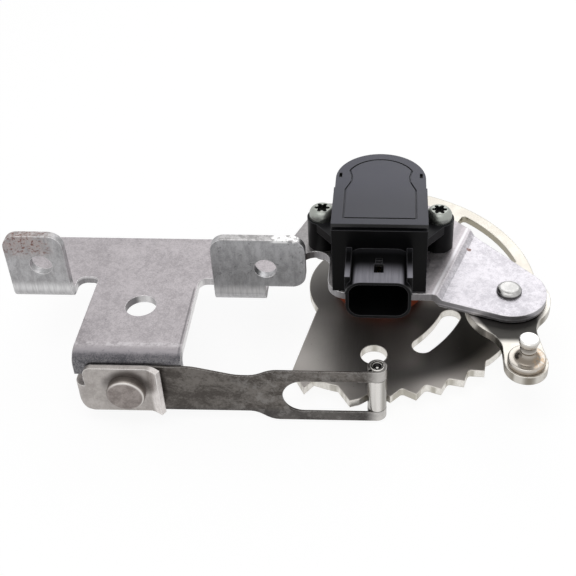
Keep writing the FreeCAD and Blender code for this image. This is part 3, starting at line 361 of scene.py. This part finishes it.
def nickel_plate():
    """The toothed lever's plating: painted dark reflection on its face, greyer on the left and teeth, cream
    edges with painted highlights.
    """
    paint = Paint("nickel_plate")
    soft, edge = paint.rounded(0.5)
    up = paint.facing()
    brushed = paint.noise(0.9, 3.0, 0.6, (0.5, 9.0, 1.0))
    cloud = paint.noise(7.0, 4.0, 0.6, shift=7.0)
    dots = paint.band(paint.noise(0.8, 2.0, 0.5, shift=15.0), 0.70, 0.76)
    cream = paint.mix(paint.band(cloud, 0.35, 0.7), (0.57, 0.54, 0.487), (0.67, 0.645, 0.59))

    # cut walls, browner in the window
    walls = paint.mix(paint.band(brushed, 0.35, 0.65), (0.70, 0.675, 0.63), (0.82, 0.795, 0.75))
    shade = paint.band(paint.noise(5.0, 2.0, 0.5, (1.0, 1.0, 20.0), shift=2.0), 0.48, 0.62)
    walls = paint.mix(shade * 0.7, walls, (0.34, 0.315, 0.26))
    window = paint.band(paint.y, 2.0, 8.0)
    walls = paint.mix(window, walls, paint.mix(brushed, (0.33, 0.302, 0.235), (0.41, 0.380, 0.305)))

    # the face with a painted dark reflection of the sensor, darkest on the right
    dark = paint.mix(brushed, (0.19, 0.180, 0.170), (0.25, 0.238, 0.225))
    dark = paint.mix(paint.band(paint.x, 3.0, 15.0), dark, (0.115, 0.110, 0.104))
    dark = paint.mix(paint.band(paint.x, 16.0, 27.0), dark, (0.036, 0.034, 0.030))
    # the painted reflection is lighter in the middle, darker at the lobe, greyer on the left flank and the
    # teeth
    middle = paint.band(paint.x.gap(6.0), 10.0, 3.0) * paint.band(paint.y.gap(-28.0), 13.0, 5.0)
    dark = paint.mix(middle * 0.85, dark, (0.40, 0.378, 0.358))
    lobe = paint.band(paint.y, -17.0, -9.0) * paint.band(paint.x, -10.0, -15.0)
    dark = paint.mix(lobe * 0.6, dark, (0.10, 0.097, 0.093))
    flank = paint.band(paint.x + (cloud - 0.5) * 3.0, -7.0, -27.0) * paint.band(paint.y, -4.0, -27.0)
    face = paint.mix(flank, dark, (0.55, 0.522, 0.497))
    plain, toothed = 41.5, 48.5
    teeth = paint.band(paint.reach(SHAFT), plain ** 2, toothed ** 2)
    face = paint.mix(teeth, face, (0.42, 0.392, 0.370))
    face = paint.mix(dots * 0.5, face, (0.16, 0.15, 0.14))
    rim = paint.band(paint.y, -13.0, 1.0) * paint.band(paint.x, 8.0, 16.0)
    face = paint.mix(rim, face, cream)

    below = paint.mix(paint.band(up, -0.5, -0.9), walls, cream)
    colour = paint.mix(paint.band(up, 0.55, 0.9), below, face)
    # painted highlight along the rounded edges
    colour = paint.mix(edge * 0.8, colour, (0.76, 0.735, 0.68))
    return paint.finish(colour, 0.33 + 0.08 * brushed + 0.08 * cloud, 1.0, soft, brushed, 0.06, 0.02)


def lever_plate():
    """The valve lever's plating: painted dark reflection round its pivot, cream neck and boss, walls in
    painted shade and glints.
    """
    paint = Paint("lever_plate")
    soft, edge = paint.rounded(0.45)
    up = paint.facing()
    brushed = paint.noise(0.8, 3.0, 0.6, (6.0, 0.6, 1.0))
    cloud = paint.noise(3.5, 4.0, 0.65, shift=12.0)
    cream = paint.mix(paint.band(cloud, 0.35, 0.7), (0.58, 0.555, 0.51), (0.72, 0.695, 0.65))
    # walls painted darker brown as shade, with painted glints
    glint = paint.band(paint.noise(4.5, 2.0, 0.5, (1.0, 1.0, 20.0), shift=4.0), 0.36, 0.62)
    walls = paint.mix(glint, (0.22, 0.197, 0.163), (0.60, 0.575, 0.53))
    cream = paint.mix(paint.band(up.size(), 0.7, 0.4), cream, walls)
    # painted dark reflection of the bracket tip's shaded underside round the pivot
    pivot = paint.band(paint.y + (cloud - 0.5) * 1.0, -40.6, -37.8) * paint.band(paint.x, 48.6, 46.2)
    pivot = pivot * paint.band(paint.x + 0.55 * paint.y, 11.5, 13.5)
    dark = paint.mix(brushed, (0.034, 0.032, 0.030), (0.052, 0.050, 0.046))
    colour = paint.mix(pivot * paint.band(up, 0.55, 0.9), cream, dark)
    boss_side = paint.band(paint.x, 43.5, 47.0) * paint.band(paint.y, -44.0, -46.0)
    stain = paint.band(paint.noise(0.9, 4.0, 0.7, shift=8.0), 0.52, 0.62) * boss_side
    colour = paint.mix(stain * 0.5, colour, (0.30, 0.17, 0.07))
    # painted highlight along the rounded edges
    colour = paint.mix(edge * 0.75, colour, (0.76, 0.735, 0.68))
    return paint.finish(colour, 0.24 + 0.1 * brushed + 0.1 * cloud, 1.0, soft, brushed, 0.08, 0.02)


def spring_steel():
    """Tempered leaf: dark brown-grey in cloudy blotches, with painted highlights on its edges, and brighter
    eyes.
    """
    paint = Paint("spring_steel")
    soft, edge = paint.rounded(0.22)
    blotch = paint.noise(5.0, 6.0, 0.72, (1.4, 1.0, 1.0), 0.4)
    fine = paint.noise(0.7, 3.0, 0.65, shift=2.0)
    tone = paint.band(blotch * 0.75 + fine * 0.25, 0.40, 0.60)
    colour = paint.mix(tone, (0.070, 0.062, 0.056), (0.170, 0.156, 0.144))
    clean = paint.band(paint.noise(3.0, 6.0, 0.75, shift=14.0), 0.50, 0.62)
    clean = clean * paint.band(paint.x, -46.0, -34.0)
    colour = paint.mix(clean * 0.5, colour, (0.26, 0.25, 0.24))
    lower_arm = paint.band(paint.z, -1.0, -3.5)
    colour = paint.mix(lower_arm * (0.5 - 0.25 * clean), colour, (0.055, 0.054, 0.055))
    eyes = paint.band(paint.x, -3.4, 0.8)
    colour = paint.mix(eyes * (0.75 + 0.25 * tone), colour, (0.58, 0.562, 0.54))
    # painted highlight along the rounded edges
    colour = paint.mix(edge * 0.8, colour, (0.54, 0.53, 0.52))
    return paint.finish(colour, 0.32 + 0.2 * blotch, 0.95, soft, fine, 0.2, 0.02)


def clamp_steel():
    """Rolled plate, warm light grey with short scratches, a painted shadow above its rivet, painted light on
    its lip.
    """
    paint = Paint("clamp_steel")
    soft, edge = paint.rounded(0.4)
    cloud = paint.noise(4.0, 5.0, 0.65)
    fine = paint.noise(0.6, 3.0, 0.6, shift=9.0)
    scratch = paint.band(paint.noise(0.9, 2.0, 0.5, (0.35, 1.0, 7.0), shift=4.0), 0.58, 0.70)
    tone = paint.band(cloud * 0.7 + fine * 0.3, 0.36, 0.64)
    colour = paint.mix(tone, (0.345, 0.318, 0.302), (0.485, 0.455, 0.435))
    # painted shadow of the rivet head, above it
    off_x = paint.x - CLAMP_RIVET_X
    off_z = paint.z - (CLAMP_RIVET_Z + 0.4)
    ring = paint.band(off_x * off_x + off_z * off_z, 62.0, 34.0) * paint.band(paint.z, 4.0, 10.0)
    colour = paint.mix(ring * 0.7, colour, (0.10, 0.09, 0.085))
    # painted light on the flared lip
    lip = paint.band(paint.x, -63.6, -62.2)
    colour = paint.mix(lip, colour, paint.mix(tone, (0.66, 0.62, 0.60), (0.86, 0.82, 0.80)))
    colour = paint.mix(scratch * 0.3, colour, (0.25, 0.23, 0.215))
    # painted highlight along the rounded edges
    colour = paint.mix(edge * 0.7, colour, (0.88, 0.87, 0.85))
    return paint.finish(colour, 0.32 + 0.15 * cloud, 0.92, soft, scratch * 0.6 + fine * 0.4, 0.15, 0.02)


def rivet_steel():
    """Cold-headed rivet: brown-grey pitted face, mottled side, a painted highlight on its rim at the upper
    right.
    """
    paint = Paint("rivet_steel")
    pits = paint.noise(0.6, 4.0, 0.7)
    cloud = paint.noise(3.0, 3.0, 0.6, shift=6.0)
    tone = paint.band(cloud * 0.6 + pits * 0.4, 0.36, 0.64)
    colour = paint.mix(tone, (0.20, 0.173, 0.162), (0.335, 0.30, 0.283))
    side = paint.band(paint.y, -57.45, -57.1)
    colour = paint.mix(side, colour, paint.mix(cloud, (0.16, 0.14, 0.125), (0.34, 0.31, 0.29)))
    # painted highlight on the head's rim at its upper right
    rim = paint.band(paint.y.gap(-57.4), 0.3, 0.05) * paint.band(paint.x + paint.z, -68.0, -60.0)
    colour = paint.mix(rim * 0.8, colour, (0.80, 0.77, 0.74))
    return paint.finish(colour, 0.30 + 0.16 * pits, 0.95, None, pits, 0.2, 0.03)


def bright_rivet():
    """The tip's rivet: bright burnished head, with painted shade at its foot."""
    paint = Paint("bright_rivet")
    cloud = paint.noise(1.8, 4.0, 0.65, shift=3.0)
    colour = paint.mix(paint.band(cloud, 0.35, 0.65), (0.37, 0.366, 0.36), (0.50, 0.495, 0.487))
    # painted shade where the head meets the sheet
    foot = paint.band(paint.z, 16.5, 15.9)
    colour = paint.mix(foot * 0.85, colour, (0.05, 0.048, 0.047))
    return paint.finish(colour, 0.2 + 0.12 * cloud, 1.0, None, cloud, 0.1, 0.02)


def polished_steel():
    """Ground roller and pin: bright, with lengthwise lines, painted shade on their sides and in the pin's end
    cup.
    """
    paint = Paint("polished_steel")
    rings = paint.noise(0.4, 3.0, 0.6, (30.0, 30.0, 0.6))
    lines = paint.noise(2.6, 1.0, 0.4, (1.0, 1.0, 20.0), shift=5.0)
    colour = paint.mix(paint.band(lines, 0.36, 0.62), (0.42, 0.405, 0.38), (0.70, 0.68, 0.655))
    # painted shade on the left and right sides
    flank_shade = paint.band(paint.x.gap(-0.3), 0.9, 2.2) * paint.band(paint.z, 9.5, 9.0)
    colour = paint.mix(flank_shade * 0.75, colour, (0.20, 0.19, 0.17))
    # painted shade in the pin's end cup
    reach = paint.reach(ROLLER)
    cup = paint.band(reach, 1.75, 1.35) * paint.band(paint.z, 11.9, 12.2) * paint.band(reach, 0.10, 0.30)
    colour = paint.mix(cup * 0.95, colour, (0.012, 0.012, 0.012))
    return paint.finish(colour, 0.14 + 0.1 * rings, 1.0, None, rings, 0.05, 0.01)


def stud_steel():
    """Turned stud: pale metal, painted shade in its waist and at its foot, painted light on its head's top,
    yellow-brown low on its right side.
    """
    paint = Paint("stud_steel")
    rings = paint.noise(0.4, 3.0, 0.6, (30.0, 30.0, 0.5))
    stain = paint.noise(1.2, 4.0, 0.7, shift=8.0)
    colour = paint.mix(rings, (0.42, 0.39, 0.35), (0.60, 0.57, 0.53))
    # painted shade in the waist
    waist = paint.band(paint.z.gap(STUD_WAIST_Z), 1.2, 0.3)
    colour = paint.mix(waist * 0.7, colour, (0.13, 0.115, 0.10))
    # painted shade at the foot of the stem
    foot = paint.band(paint.reach(STUD), 19.0, 9.0) * paint.band(paint.z, 17.4, 15.4)
    colour = paint.mix(foot * 0.8, colour, (0.15, 0.12, 0.09))
    low_right = paint.band(paint.z, 17.0, 14.2) * paint.band(paint.x, 41.5, 45.0)
    colour = paint.mix(paint.band(stain, 0.42, 0.60) * low_right * 0.65, colour, (0.40, 0.26, 0.14))
    # painted light on the head's top
    head_top_light = paint.band(paint.z, 21.2, 21.6)
    colour = paint.mix(head_top_light, colour, (0.72, 0.71, 0.69))
    collar_side = paint.band(paint.z, 14.1, 13.7)
    colour = paint.mix(collar_side * 0.6, colour, (0.25, 0.205, 0.16))
    groove = paint.band(paint.z.gap(12.85), 0.3, 0.1)
    colour = paint.mix(groove * 0.6, colour, (0.13, 0.10, 0.075))
    return paint.finish(colour, 0.2 + 0.12 * rings, 1.0, None, rings, 0.1, 0.01)


def zinc_screw():
    """Zinc-plated screws: cool grey-green, slightly frosted, with painted shade in the recess and painted
    highlights on edges.
    """
    paint = Paint("zinc_screw")
    soft, edge = paint.rounded(0.25)
    frost = paint.noise(0.5, 4.0, 0.7)
    colour = paint.mix(frost, (0.26, 0.28, 0.26), (0.44, 0.455, 0.42))
    off_x = paint.x.size() - SCREW_X
    # painted black shade in the recess
    recess = paint.band(off_x * off_x + paint.y * paint.y, 6.6, 5.6) * paint.band(paint.z, 30.45, 30.2)
    colour = paint.mix(recess * 0.95, colour, (0.008, 0.008, 0.008))
    # painted highlight along the rounded edges
    colour = paint.mix(edge * 0.5 * (1 - recess), colour, (0.72, 0.73, 0.69))
    return paint.finish(colour, 0.28 + 0.2 * frost, 0.95 - 0.9 * recess, soft, frost, 0.15, 0.02)


def case_plastic():
    """Glass-filled case: black and satin, painted highlights on its corners and a painted grey reflection on
    the connector top.
    """
    paint = Paint("case_plastic")
    soft, edge = paint.rounded(0.35)
    grain = paint.noise(0.35, 3.0, 0.6)
    cloud = paint.noise(6.0, 4.0, 0.6, shift=2.0)
    up = paint.band(paint.facing(), 0.5, 0.9)
    colour = paint.mix(cloud, (0.0022, 0.0022, 0.0024), (0.0050, 0.0050, 0.0054))
    # painted grey reflection on the connector's top, streaked
    streaked_sheen = paint.band(paint.noise(0.8, 3.0, 0.6, (1.0, 16.0, 1.0), shift=7.0), 0.36, 0.64)
    connector_sheen = up * paint.band(paint.y, -29.0, -36.0) * paint.band(paint.z, 32.2, 32.8)
    colour = paint.mix(connector_sheen * (0.8 + 0.2 * streaked_sheen), colour, (0.32, 0.315, 0.355))
    # painted sheen on the upward faces behind the front
    shoulder = up * paint.band(paint.y, -26.0, -24.0)
    colour = paint.mix(shoulder * 0.5, colour, (0.030, 0.030, 0.034))
    # painted highlight along the rounded edges
    colour = paint.mix(edge * 0.7, colour, (0.125, 0.125, 0.135))
    sheen = {"Specular IOR Level": 0.10}
    return paint.finish(colour, 0.30 + 0.12 * cloud, 0.0, soft, grain, 0.15, 0.02, **sheen)


def cover_plastic():
    """The lid: dull blue-black with a painted cloudy sheen on its top, lighter to the back, and painted
    highlights on its edges.
    """
    paint = Paint("cover_plastic")
    soft, edge = paint.rounded(0.3)
    grain = paint.noise(0.35, 3.0, 0.6)
    cloud = paint.noise(7.0, 4.0, 0.6, shift=2.0)
    up = paint.band(paint.facing(), 0.5, 0.9)
    # painted sheen on the upward faces, lighter towards the back; the other faces stay near black
    sheen_fade = paint.band(paint.y, -16.0, 2.0)
    top = paint.mix(sheen_fade * 0.6 + cloud * 0.4, (0.028, 0.029, 0.042), (0.059, 0.060, 0.086))
    colour = paint.mix(up, (0.006, 0.006, 0.0065), top)
    # painted highlight along the rounded edges
    colour = paint.mix(edge * 0.5, colour, (0.095, 0.095, 0.105))
    return paint.finish(colour, 0.40 + 0.12 * cloud, 0.0, soft, grain, 0.18, 0.02)


def rotor_plastic():
    """The rotor's moulding: orange-red, with its body above the flange painted black as shade beneath the
    sensor.
    """
    paint = Paint("rotor_plastic")
    soft = paint.rounded(0.3)[0]
    cloud = paint.noise(4.0, 3.0, 0.6)
    # orange-red on the flange; above it the body is painted black as shade beneath the sensor
    flange = paint.band(paint.z, 3.7, 3.5)
    orange = paint.mix(cloud, (0.30, 0.045, 0.014), (0.46, 0.080, 0.022))
    black = paint.mix(cloud, (0.012, 0.012, 0.013), (0.020, 0.020, 0.021))
    colour = paint.mix(flange, black, orange)
    return paint.finish(colour, 0.42 + 0.12 * cloud, 0.0, soft, cloud, 0.1, 0.02)


def plain_finish(name, dark, pale, roughness, metallic):
    """A finish for inner pieces: cloudy between two colours."""
    paint = Paint(name)
    soft = paint.rounded(0.15)[0]
    cloud = paint.noise(1.5, 4.0, 0.65)
    colour = paint.mix(cloud, dark, pale)
    return paint.finish(colour, roughness + 0.12 * cloud, metallic, soft, cloud, 0.1, 0.01)


finishes = {
    "main_bracket": galvanised_sheet(),
    "detent_plate": nickel_plate(),
    "shaft_hub": plain_finish("hub_steel", (0.36, 0.34, 0.31), (0.50, 0.48, 0.45), 0.26, 1.0),
    "valve_lever": lever_plate(),
    "detent_spring": spring_steel(),
    "spring_clamp": clamp_steel(),
    "spring_rivet": rivet_steel(),
    "pivot_rivet": bright_rivet(),
    "detent_roller": polished_steel(),
    "lever_stud": stud_steel(),
    "sensor_screws": zinc_screw(),
    "sensor_housing": case_plastic(),
    "sensor_cover": cover_plastic(),
    "sensor_rotor": rotor_plastic(),
    "ear_sleeves": plain_finish("sleeve_steel", (0.28, 0.30, 0.28), (0.46, 0.48, 0.44), 0.3, 0.95),
    "connector_pins": plain_finish("contact_brass", (0.42, 0.30, 0.12), (0.62, 0.48, 0.22), 0.28, 1.0),
    "rotor_magnet": plain_finish("sintered_magnet", (0.05, 0.05, 0.055), (0.10, 0.10, 0.105), 0.5, 0.6),
    "circuit_board": plain_finish("coated_board", (0.012, 0.07, 0.025), (0.02, 0.11, 0.04), 0.35, 0.0),
    "sensor_chip": plain_finish("moulded_chip", (0.010, 0.010, 0.010), (0.018, 0.018, 0.018), 0.45, 0.0),
}
finishes["roller_pin"] = finishes["detent_roller"]
for name, node in nodes.items():
    wear(node, finishes[name])


def new_piece(name, points, faces, stands_for):
    """A mesh object from points in millimetres that takes the place and finish of a CAD node."""
    mesh = bpy.data.meshes.new(name)
    mesh.from_pydata((points * MM).tolist(), [], faces)
    mesh.polygons.foreach_set("use_smooth", np.ones(len(mesh.polygons), bool))
    mesh.validate()
    piece = bpy.data.objects.new(name, mesh)
    scene.collection.objects.link(piece)
    wear(piece, finishes[stands_for])
    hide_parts(stands_for)
    return piece


def soft_edges(piece, width):
    """Rounds the piece's sharp edges to a width in millimetres."""
    bevel = piece.modifiers.new("soft_edges", "BEVEL")
    bevel.width = width * MM
    bevel.segments = 2
    bevel.limit_method = "ANGLE"
    bevel.angle_limit = np.radians(50)
    bevel.harden_normals = True


def strip_faces(first, second, turn=False):
    """Quads between two rows of point numbers of equal length; turn swaps their facing."""
    quads = np.stack([first[:-1], first[1:], second[1:], second[:-1]], axis=1)
    return quads[:, ::-1] if turn else quads


def grid_faces(rows, turn=False):
    """Quads of a whole grid of point numbers; turn swaps their facing."""
    corners = [rows[:-1, :-1], rows[1:, :-1], rows[1:, 1:], rows[:-1, 1:]]
    quads = np.stack(corners, axis=-1).reshape(-1, 4)
    return quads[:, ::-1] if turn else quads


def leaf_spring():
    """The leaf with its fork and curled eyes, one closed sheet.

    The middle line runs straight along X at the flange and then round the roller's axis on a circle, so a
    station's place is x for x below 0 and an angle of (arc length / radius) past it.  Each station has four
    heights: the lower edge, the fork opening's lower and upper edge, and the upper edge.  The opening's edges
    meet at its rounded root, where they follow mid +- sqrt(half^2 - (x - centre)^2).  The outer edges are
    straight pieces, with each height a mean over a short stretch.  Both faces are the middle surface moved
    by half the thickness along the line's normal.
    """
    thick, curl_turn, stretch = 0.7, np.radians(300), 1.6
    bend = ROLLER_RADIUS - thick / 2
    far_end, waist_in, waist_out, flare_in, flare_out = -77.0, -52.0, -39.5, -34.5, -29.8
    flange_low, flange_high, waist_high = -3.1, 13.7, 10.6
    fork_low, fork_high = -6.4, 12.8
    gap_low, gap_high, gap_root = -3.0, 9.0, -26.7
    mid, half = (gap_low + gap_high) / 2, (gap_high - gap_low) / 2
    centre = gap_root + half

    # stations along the leaf, and the middle line with its normal
    solid = np.linspace(far_end, gap_root, 44)
    round_root = centre - half * np.cos(np.linspace(0, np.pi / 2, 13)[1:])
    arms = np.linspace(centre, 0.0, 12)[1:]
    curl = np.linspace(0, curl_turn, 49)[1:] * bend
    way = np.concatenate([solid, round_root, arms, curl])
    angle = np.maximum(way, 0) / bend
    line = np.stack([np.minimum(way, 0) + bend * np.sin(angle), ROLLER[1] - bend * np.cos(angle)], axis=1)
    normal = np.stack([np.sin(angle), -np.cos(angle)], axis=1)

    # heights of both strands at each station
    near = way + np.linspace(-stretch, stretch, 9)[:, None]
    low = np.interp(near, [flare_in, flare_out], [flange_low, fork_low]).mean(axis=0)
    high = np.interp(near, [waist_in, waist_out, flare_in, flare_out],
                     [flange_high, waist_high, waist_high, fork_high]).mean(axis=0)
    spread = np.sqrt(np.clip(half ** 2 - np.clip(centre - way, 0, half) ** 2, 0, None))
    strand = 7
    shares = np.linspace(0, 1, strand)
    lower = low[:, None] + shares * (mid - spread - low)[:, None]
    upper = (mid + spread)[:, None] + shares * (high - mid - spread)[:, None]
    heights = np.concatenate([lower, upper], axis=1)

    # both faces, with the strands joined ahead of the opening
    sides = []
    for side in (1, -1):
        flat = np.repeat((line + normal * side * thick / 2)[:, None, :], 2 * strand, axis=1)
        sides.append(np.concatenate([flat, heights[:, :, None]], axis=2))
    points = np.concatenate(sides).reshape(-1, 3)
    number = np.arange(len(points)).reshape(2, len(way), 2 * strand)
    number[:, :len(solid), strand] = number[:, :len(solid), strand - 1]
    front, back = number
    opening = slice(len(solid) - 1, None)
    faces = [strip_faces(front[:, 0], back[:, 0], True), strip_faces(front[:, -1], back[:, -1]),
             strip_faces(front[opening, strand - 1], back[opening, strand - 1]),
             strip_faces(front[opening, strand], back[opening, strand], True)]
    for across in (slice(0, strand), slice(strand, None)):
        faces += [grid_faces(front[:, across]), grid_faces(back[:, across], True),
                  strip_faces(front[0, across], back[0, across]),
                  strip_faces(front[-1, across], back[-1, across], True)]
    used, faces = np.unique(np.concatenate(faces), return_inverse=True)
    piece = new_piece("leaf_spring", points[used], faces.reshape(-1, 4).tolist(), "detent_spring")
    soft_edges(piece, 0.16)
    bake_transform(piece)


def eased(profile, ease):
    """The profile with each inner corner swapped for a curve.

    The curve is (1-t)^2 A + 2t(1-t) C + t^2 B, where C is the corner and A and B lie ease before and after it
    on its sides, or 0.45 of the side's length where that is less.
    """
    profile = np.array(profile, float)
    corner, before, after = profile[1:-1], profile[:-2], profile[2:]
    ease = np.array(ease, float)[:, None]
    to_before, to_after = before - corner, after - corner
    long_before = np.linalg.norm(to_before, axis=1, keepdims=True)
    long_after = np.linalg.norm(to_after, axis=1, keepdims=True)
    first = corner + to_before / long_before * np.minimum(ease, 0.45 * long_before)
    last = corner + to_after / long_after * np.minimum(ease, 0.45 * long_after)
    t = np.linspace(0, 1, 6)[:, None, None]
    curve = (1 - t) ** 2 * first + 2 * t * (1 - t) * corner + t ** 2 * last
    return np.concatenate([profile[:1], curve.transpose(1, 0, 2).reshape(-1, 2), profile[-1:]])


def turned_piece(name, profile, centre, stands_for, body, along_y=False):
    """A surface of revolution: each profile point (radius, height) goes round the axis in equal steps.

    The profile runs from its low end outwards and up.  Ends of radius 0 become poles; a profile that comes
    back to its first point makes a ring.  The axis runs along Z through centre, or along -Y.
    """
    radius, height = np.array(profile, float).T
    ring_shaped = radius[0] > 0
    angle = np.linspace(0, 2 * np.pi, ROUND_STEPS, endpoint=False)
    points = np.stack([np.outer(radius, np.cos(angle)), np.outer(radius, np.sin(angle)),
                       np.repeat(height[:, None], ROUND_STEPS, axis=1)], axis=-1).reshape(-1, 3)
    if along_y:
        points = points @ np.array([[1, 0, 0], [0, 0, 1], [0, -1, 0]])
    number = np.arange(len(points)).reshape(-1, ROUND_STEPS)
    if ring_shaped:
        number[-1] = number[0]
    number = np.concatenate([number, number[:, :1]], axis=1)
    quads = grid_faces(number if ring_shaped else number[1:-1], True)
    ends = np.empty((0, 3), int)
    if not ring_shaped:
        low = np.stack([np.full(ROUND_STEPS, number[0, 0]), number[1, 1:], number[1, :-1]], axis=1)
        high = np.stack([np.full(ROUND_STEPS, number[-1, 0]), number[-2, :-1], number[-2, 1:]], axis=1)
        ends = np.concatenate([low, high])
    used = np.unique(np.concatenate([quads.ravel(), ends.ravel()]))
    faces = np.searchsorted(used, quads).tolist() + np.searchsorted(used, ends).tolist()
    piece = new_piece(name, points[used] + np.array(centre), faces, stands_for)
    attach(piece, body)


def valve_stud():
    """The stud on the valve lever: upset foot, shank, collar, flared stem, waist and tapered head.

    The stem's radius is stem + flare (1-t)^2.4 while its height rises in even steps of t.
    """
    foot, shank, collar, land, stem, flare, bulge, waist = 3.1, 2.5, 5.4, 4.1, 2.15, 1.35, 2.45, 1.8
    head, crown = 3.0, 2.6
    low, lever_low, lever_top, collar_top, land_top = 9.3, 9.9, 12.7, 14.5, 14.52
    stem_low, stem_rise, bulge_z, head_low, head_high, top = 14.55, 2.6, 17.9, 19.55, 21.2, 21.7
    t = np.linspace(0, 1, 14)
    bell = np.stack([stem + flare * (1 - t) ** 2.4, stem_low + stem_rise * t], axis=1)
    below = eased([(0, low), (foot, low), (foot, lever_low), (shank, lever_low), (shank, lever_top),
                   (collar, lever_top), (collar, collar_top), (land, land_top), bell[0]],
                  [0.2, 0.1, 0.1, 0.1, 0.25, 0.55, 0.1])
    above = eased([bell[-1], (bulge, bulge_z), (waist, STUD_WAIST_Z), (crown, head_low), (head, head_high),
                   (crown, top), (0, top)], [0.35, 0.5, 0.35, 0.2, 0.3])
    profile = np.concatenate([below[:-1], bell, above[1:]])
    turned_piece("valve_stud", profile, (*STUD, 0), "lever_stud", "valve_lever")


def tip_rivet():
    """The rivet through the bracket's tip and the valve lever, with a low crown on top."""
    shank, head, crown = 3.0, 3.8, 2.9
    low, lever_low, sheet_top, shoulder, top = 8.0, 9.6, 15.5, 16.3, 17.1
    profile = eased([(0, low), (head, low), (head, lever_low), (shank, lever_low), (shank, sheet_top),
                     (head, sheet_top), (head, shoulder), (crown, top), (0, top)],
                    [0.5, 0.1, 0.1, 0.1, 0.1, 0.5, 0.7])
    turned_piece("tip_rivet", profile, (*TIP_RIVET, 0), "pivot_rivet", "bracket")


def clamp_rivet():
    """The rivet through clamp, leaf and flange: a wide head in front and a tapered tail behind."""
    shank, head, crown, tail, tail_end = 3.0, 5.4, 4.75, 4.6, 3.68
    back, flange_back, clamp_front, shoulder, front = 48.25, 50.05, 54.95, 57.05, 57.75
    profile = eased([(0, back), (tail_end, back), (tail, flange_back), (shank, flange_back),
                     (shank, clamp_front), (head, clamp_front), (head, shoulder), (crown, front), (0, front)],
                    [0.4, 0.1, 0.1, 0.1, 0.1, 0.4, 0.5])
    turned_piece("clamp_rivet", profile, (CLAMP_RIVET_X, 0, CLAMP_RIVET_Z), "spring_rivet", "bracket",
                 along_y=True)


def comb_roller():
    """The roller between the eyes: a sleeve, its profile started inside the bore."""
    bore, low, start, high = 2.05, -2.8, 3.0, 8.8
    profile = eased([(bore, start), (bore, low), (ROLLER_RADIUS, low), (ROLLER_RADIUS, high), (bore, high),
                     (bore, start)], [0.1, 0.2, 0.2, 0.1])
    turned_piece("comb_roller", profile, (*ROLLER, 0), "detent_roller", "roller")


def roller_axle():
    """The pin through both eyes, with a turned cup in its upper end."""
    radius, low, high = 2.0, -6.6, 13.0
    cup = [(1.25, high), (0.95, 12.35), (0.55, 12.3), (0, 12.75)]
    profile = eased([(0, low), (radius, low), (radius, high), *cup], [0.25, 0.3, 0.15, 0.1, 0.2])
    turned_piece("roller_axle", profile, (*ROLLER, 0), "roller_pin", "spring_arm")


leaf_spring()
valve_stud()
tip_rivet()
clamp_rivet()
comb_roller()
roller_axle()


def pale_floor():
    """A floor just under the part that looks white and still takes the part's shadow."""
    low = cad_box[0][2] - 0.4 * MM
    reach = 3.0
    tone, glow_strength, glow_share = 0.9, 1.11, 0.8
    corners = [(-reach, -reach, low), (reach, -reach, low), (reach, reach, low), (-reach, reach, low)]
    mesh = bpy.data.meshes.new("floor")
    mesh.from_pydata(corners, [], [(0, 1, 2, 3)])
    floor = bpy.data.objects.new("floor", mesh)
    scene.collection.objects.link(floor)
    paint = Paint("pale_floor")
    matt = paint.node("BsdfDiffuse", inputs={"Color": (tone, tone, tone, 1)})
    glow = paint.node("Emission", inputs={"Color": (1, 1, 1, 1), "Strength": glow_strength})
    both = paint.node("MixShader", inputs={0: paint.seen() * glow_share, 1: matt, 2: glow})
    paint.node("OutputMaterial", inputs={"Surface": both})
    wear(floor, paint.material)


def white_surroundings():
    """A world that looks white and gives off less light than it shows."""
    lit, shown = 0.45, 1.0
    scene.world = bpy.data.worlds.new("studio")
    scene.world.use_nodes = True
    sky = Tree(scene.world.node_tree)
    strength = lit + (shown - lit) * sky.seen()
    back = sky.node("Background", inputs={"Color": (1, 1, 1, 1), "Strength": strength})
    sky.node("OutputWorld", inputs={"Surface": back})


def softbox(name, spot, aim, width, height, power):
    """A rectangular lamp at a spot that faces an aim point, both in millimetres."""
    lamp = bpy.data.lights.new(name, "AREA")
    lamp.shape = "RECTANGLE"
    lamp.size = width * MM
    lamp.size_y = height * MM
    lamp.energy = power
    body = bpy.data.objects.new(name, lamp)
    scene.collection.objects.link(body)
    body.location = Vector(spot) * MM
    body.rotation_euler = (Vector(aim) - Vector(spot)).to_track_quat("-Z", "Y").to_euler()


def photo_camera():
    """The camera that was solved from the photograph: its eye, viewing direction, roll and framing."""
    frame_px = 576
    focal_px = 1004.73
    centre_px = (374.79, 225.80)
    eye = Vector((3.32, -251.46, 211.49)) * MM
    forward = Vector((-0.0164, 0.8015, -0.5978)).normalized()
    roll = 0.002883
    right = forward.cross(Vector((0, 0, 1))).normalized()
    up = right.cross(forward)
    lens = bpy.data.cameras.new("photo_camera")
    lens.sensor_width = 36.0
    lens.lens = lens.sensor_width * focal_px / frame_px
    lens.shift_x = (frame_px / 2 - centre_px[0]) / frame_px
    lens.shift_y = (centre_px[1] - frame_px / 2) / frame_px
    lens.clip_start = 0.01
    camera = bpy.data.objects.new("photo_camera", lens)
    scene.collection.objects.link(camera)
    turn = Matrix((right, up, -forward)).transposed().to_4x4()
    camera.matrix_world = Matrix.Translation(eye) @ turn @ Matrix.Rotation(roll, 4, "Z")
    scene.camera = camera


pale_floor()
white_surroundings()
softbox("top_lamp", (-60, -150, 520), (0, -20, 10), 420, 320, 0.5)
softbox("back_lamp", (120, 380, 330), (40, -20, 10), 320, 220, 0.3)
photo_camera()
scene.view_settings.view_transform = "Standard"
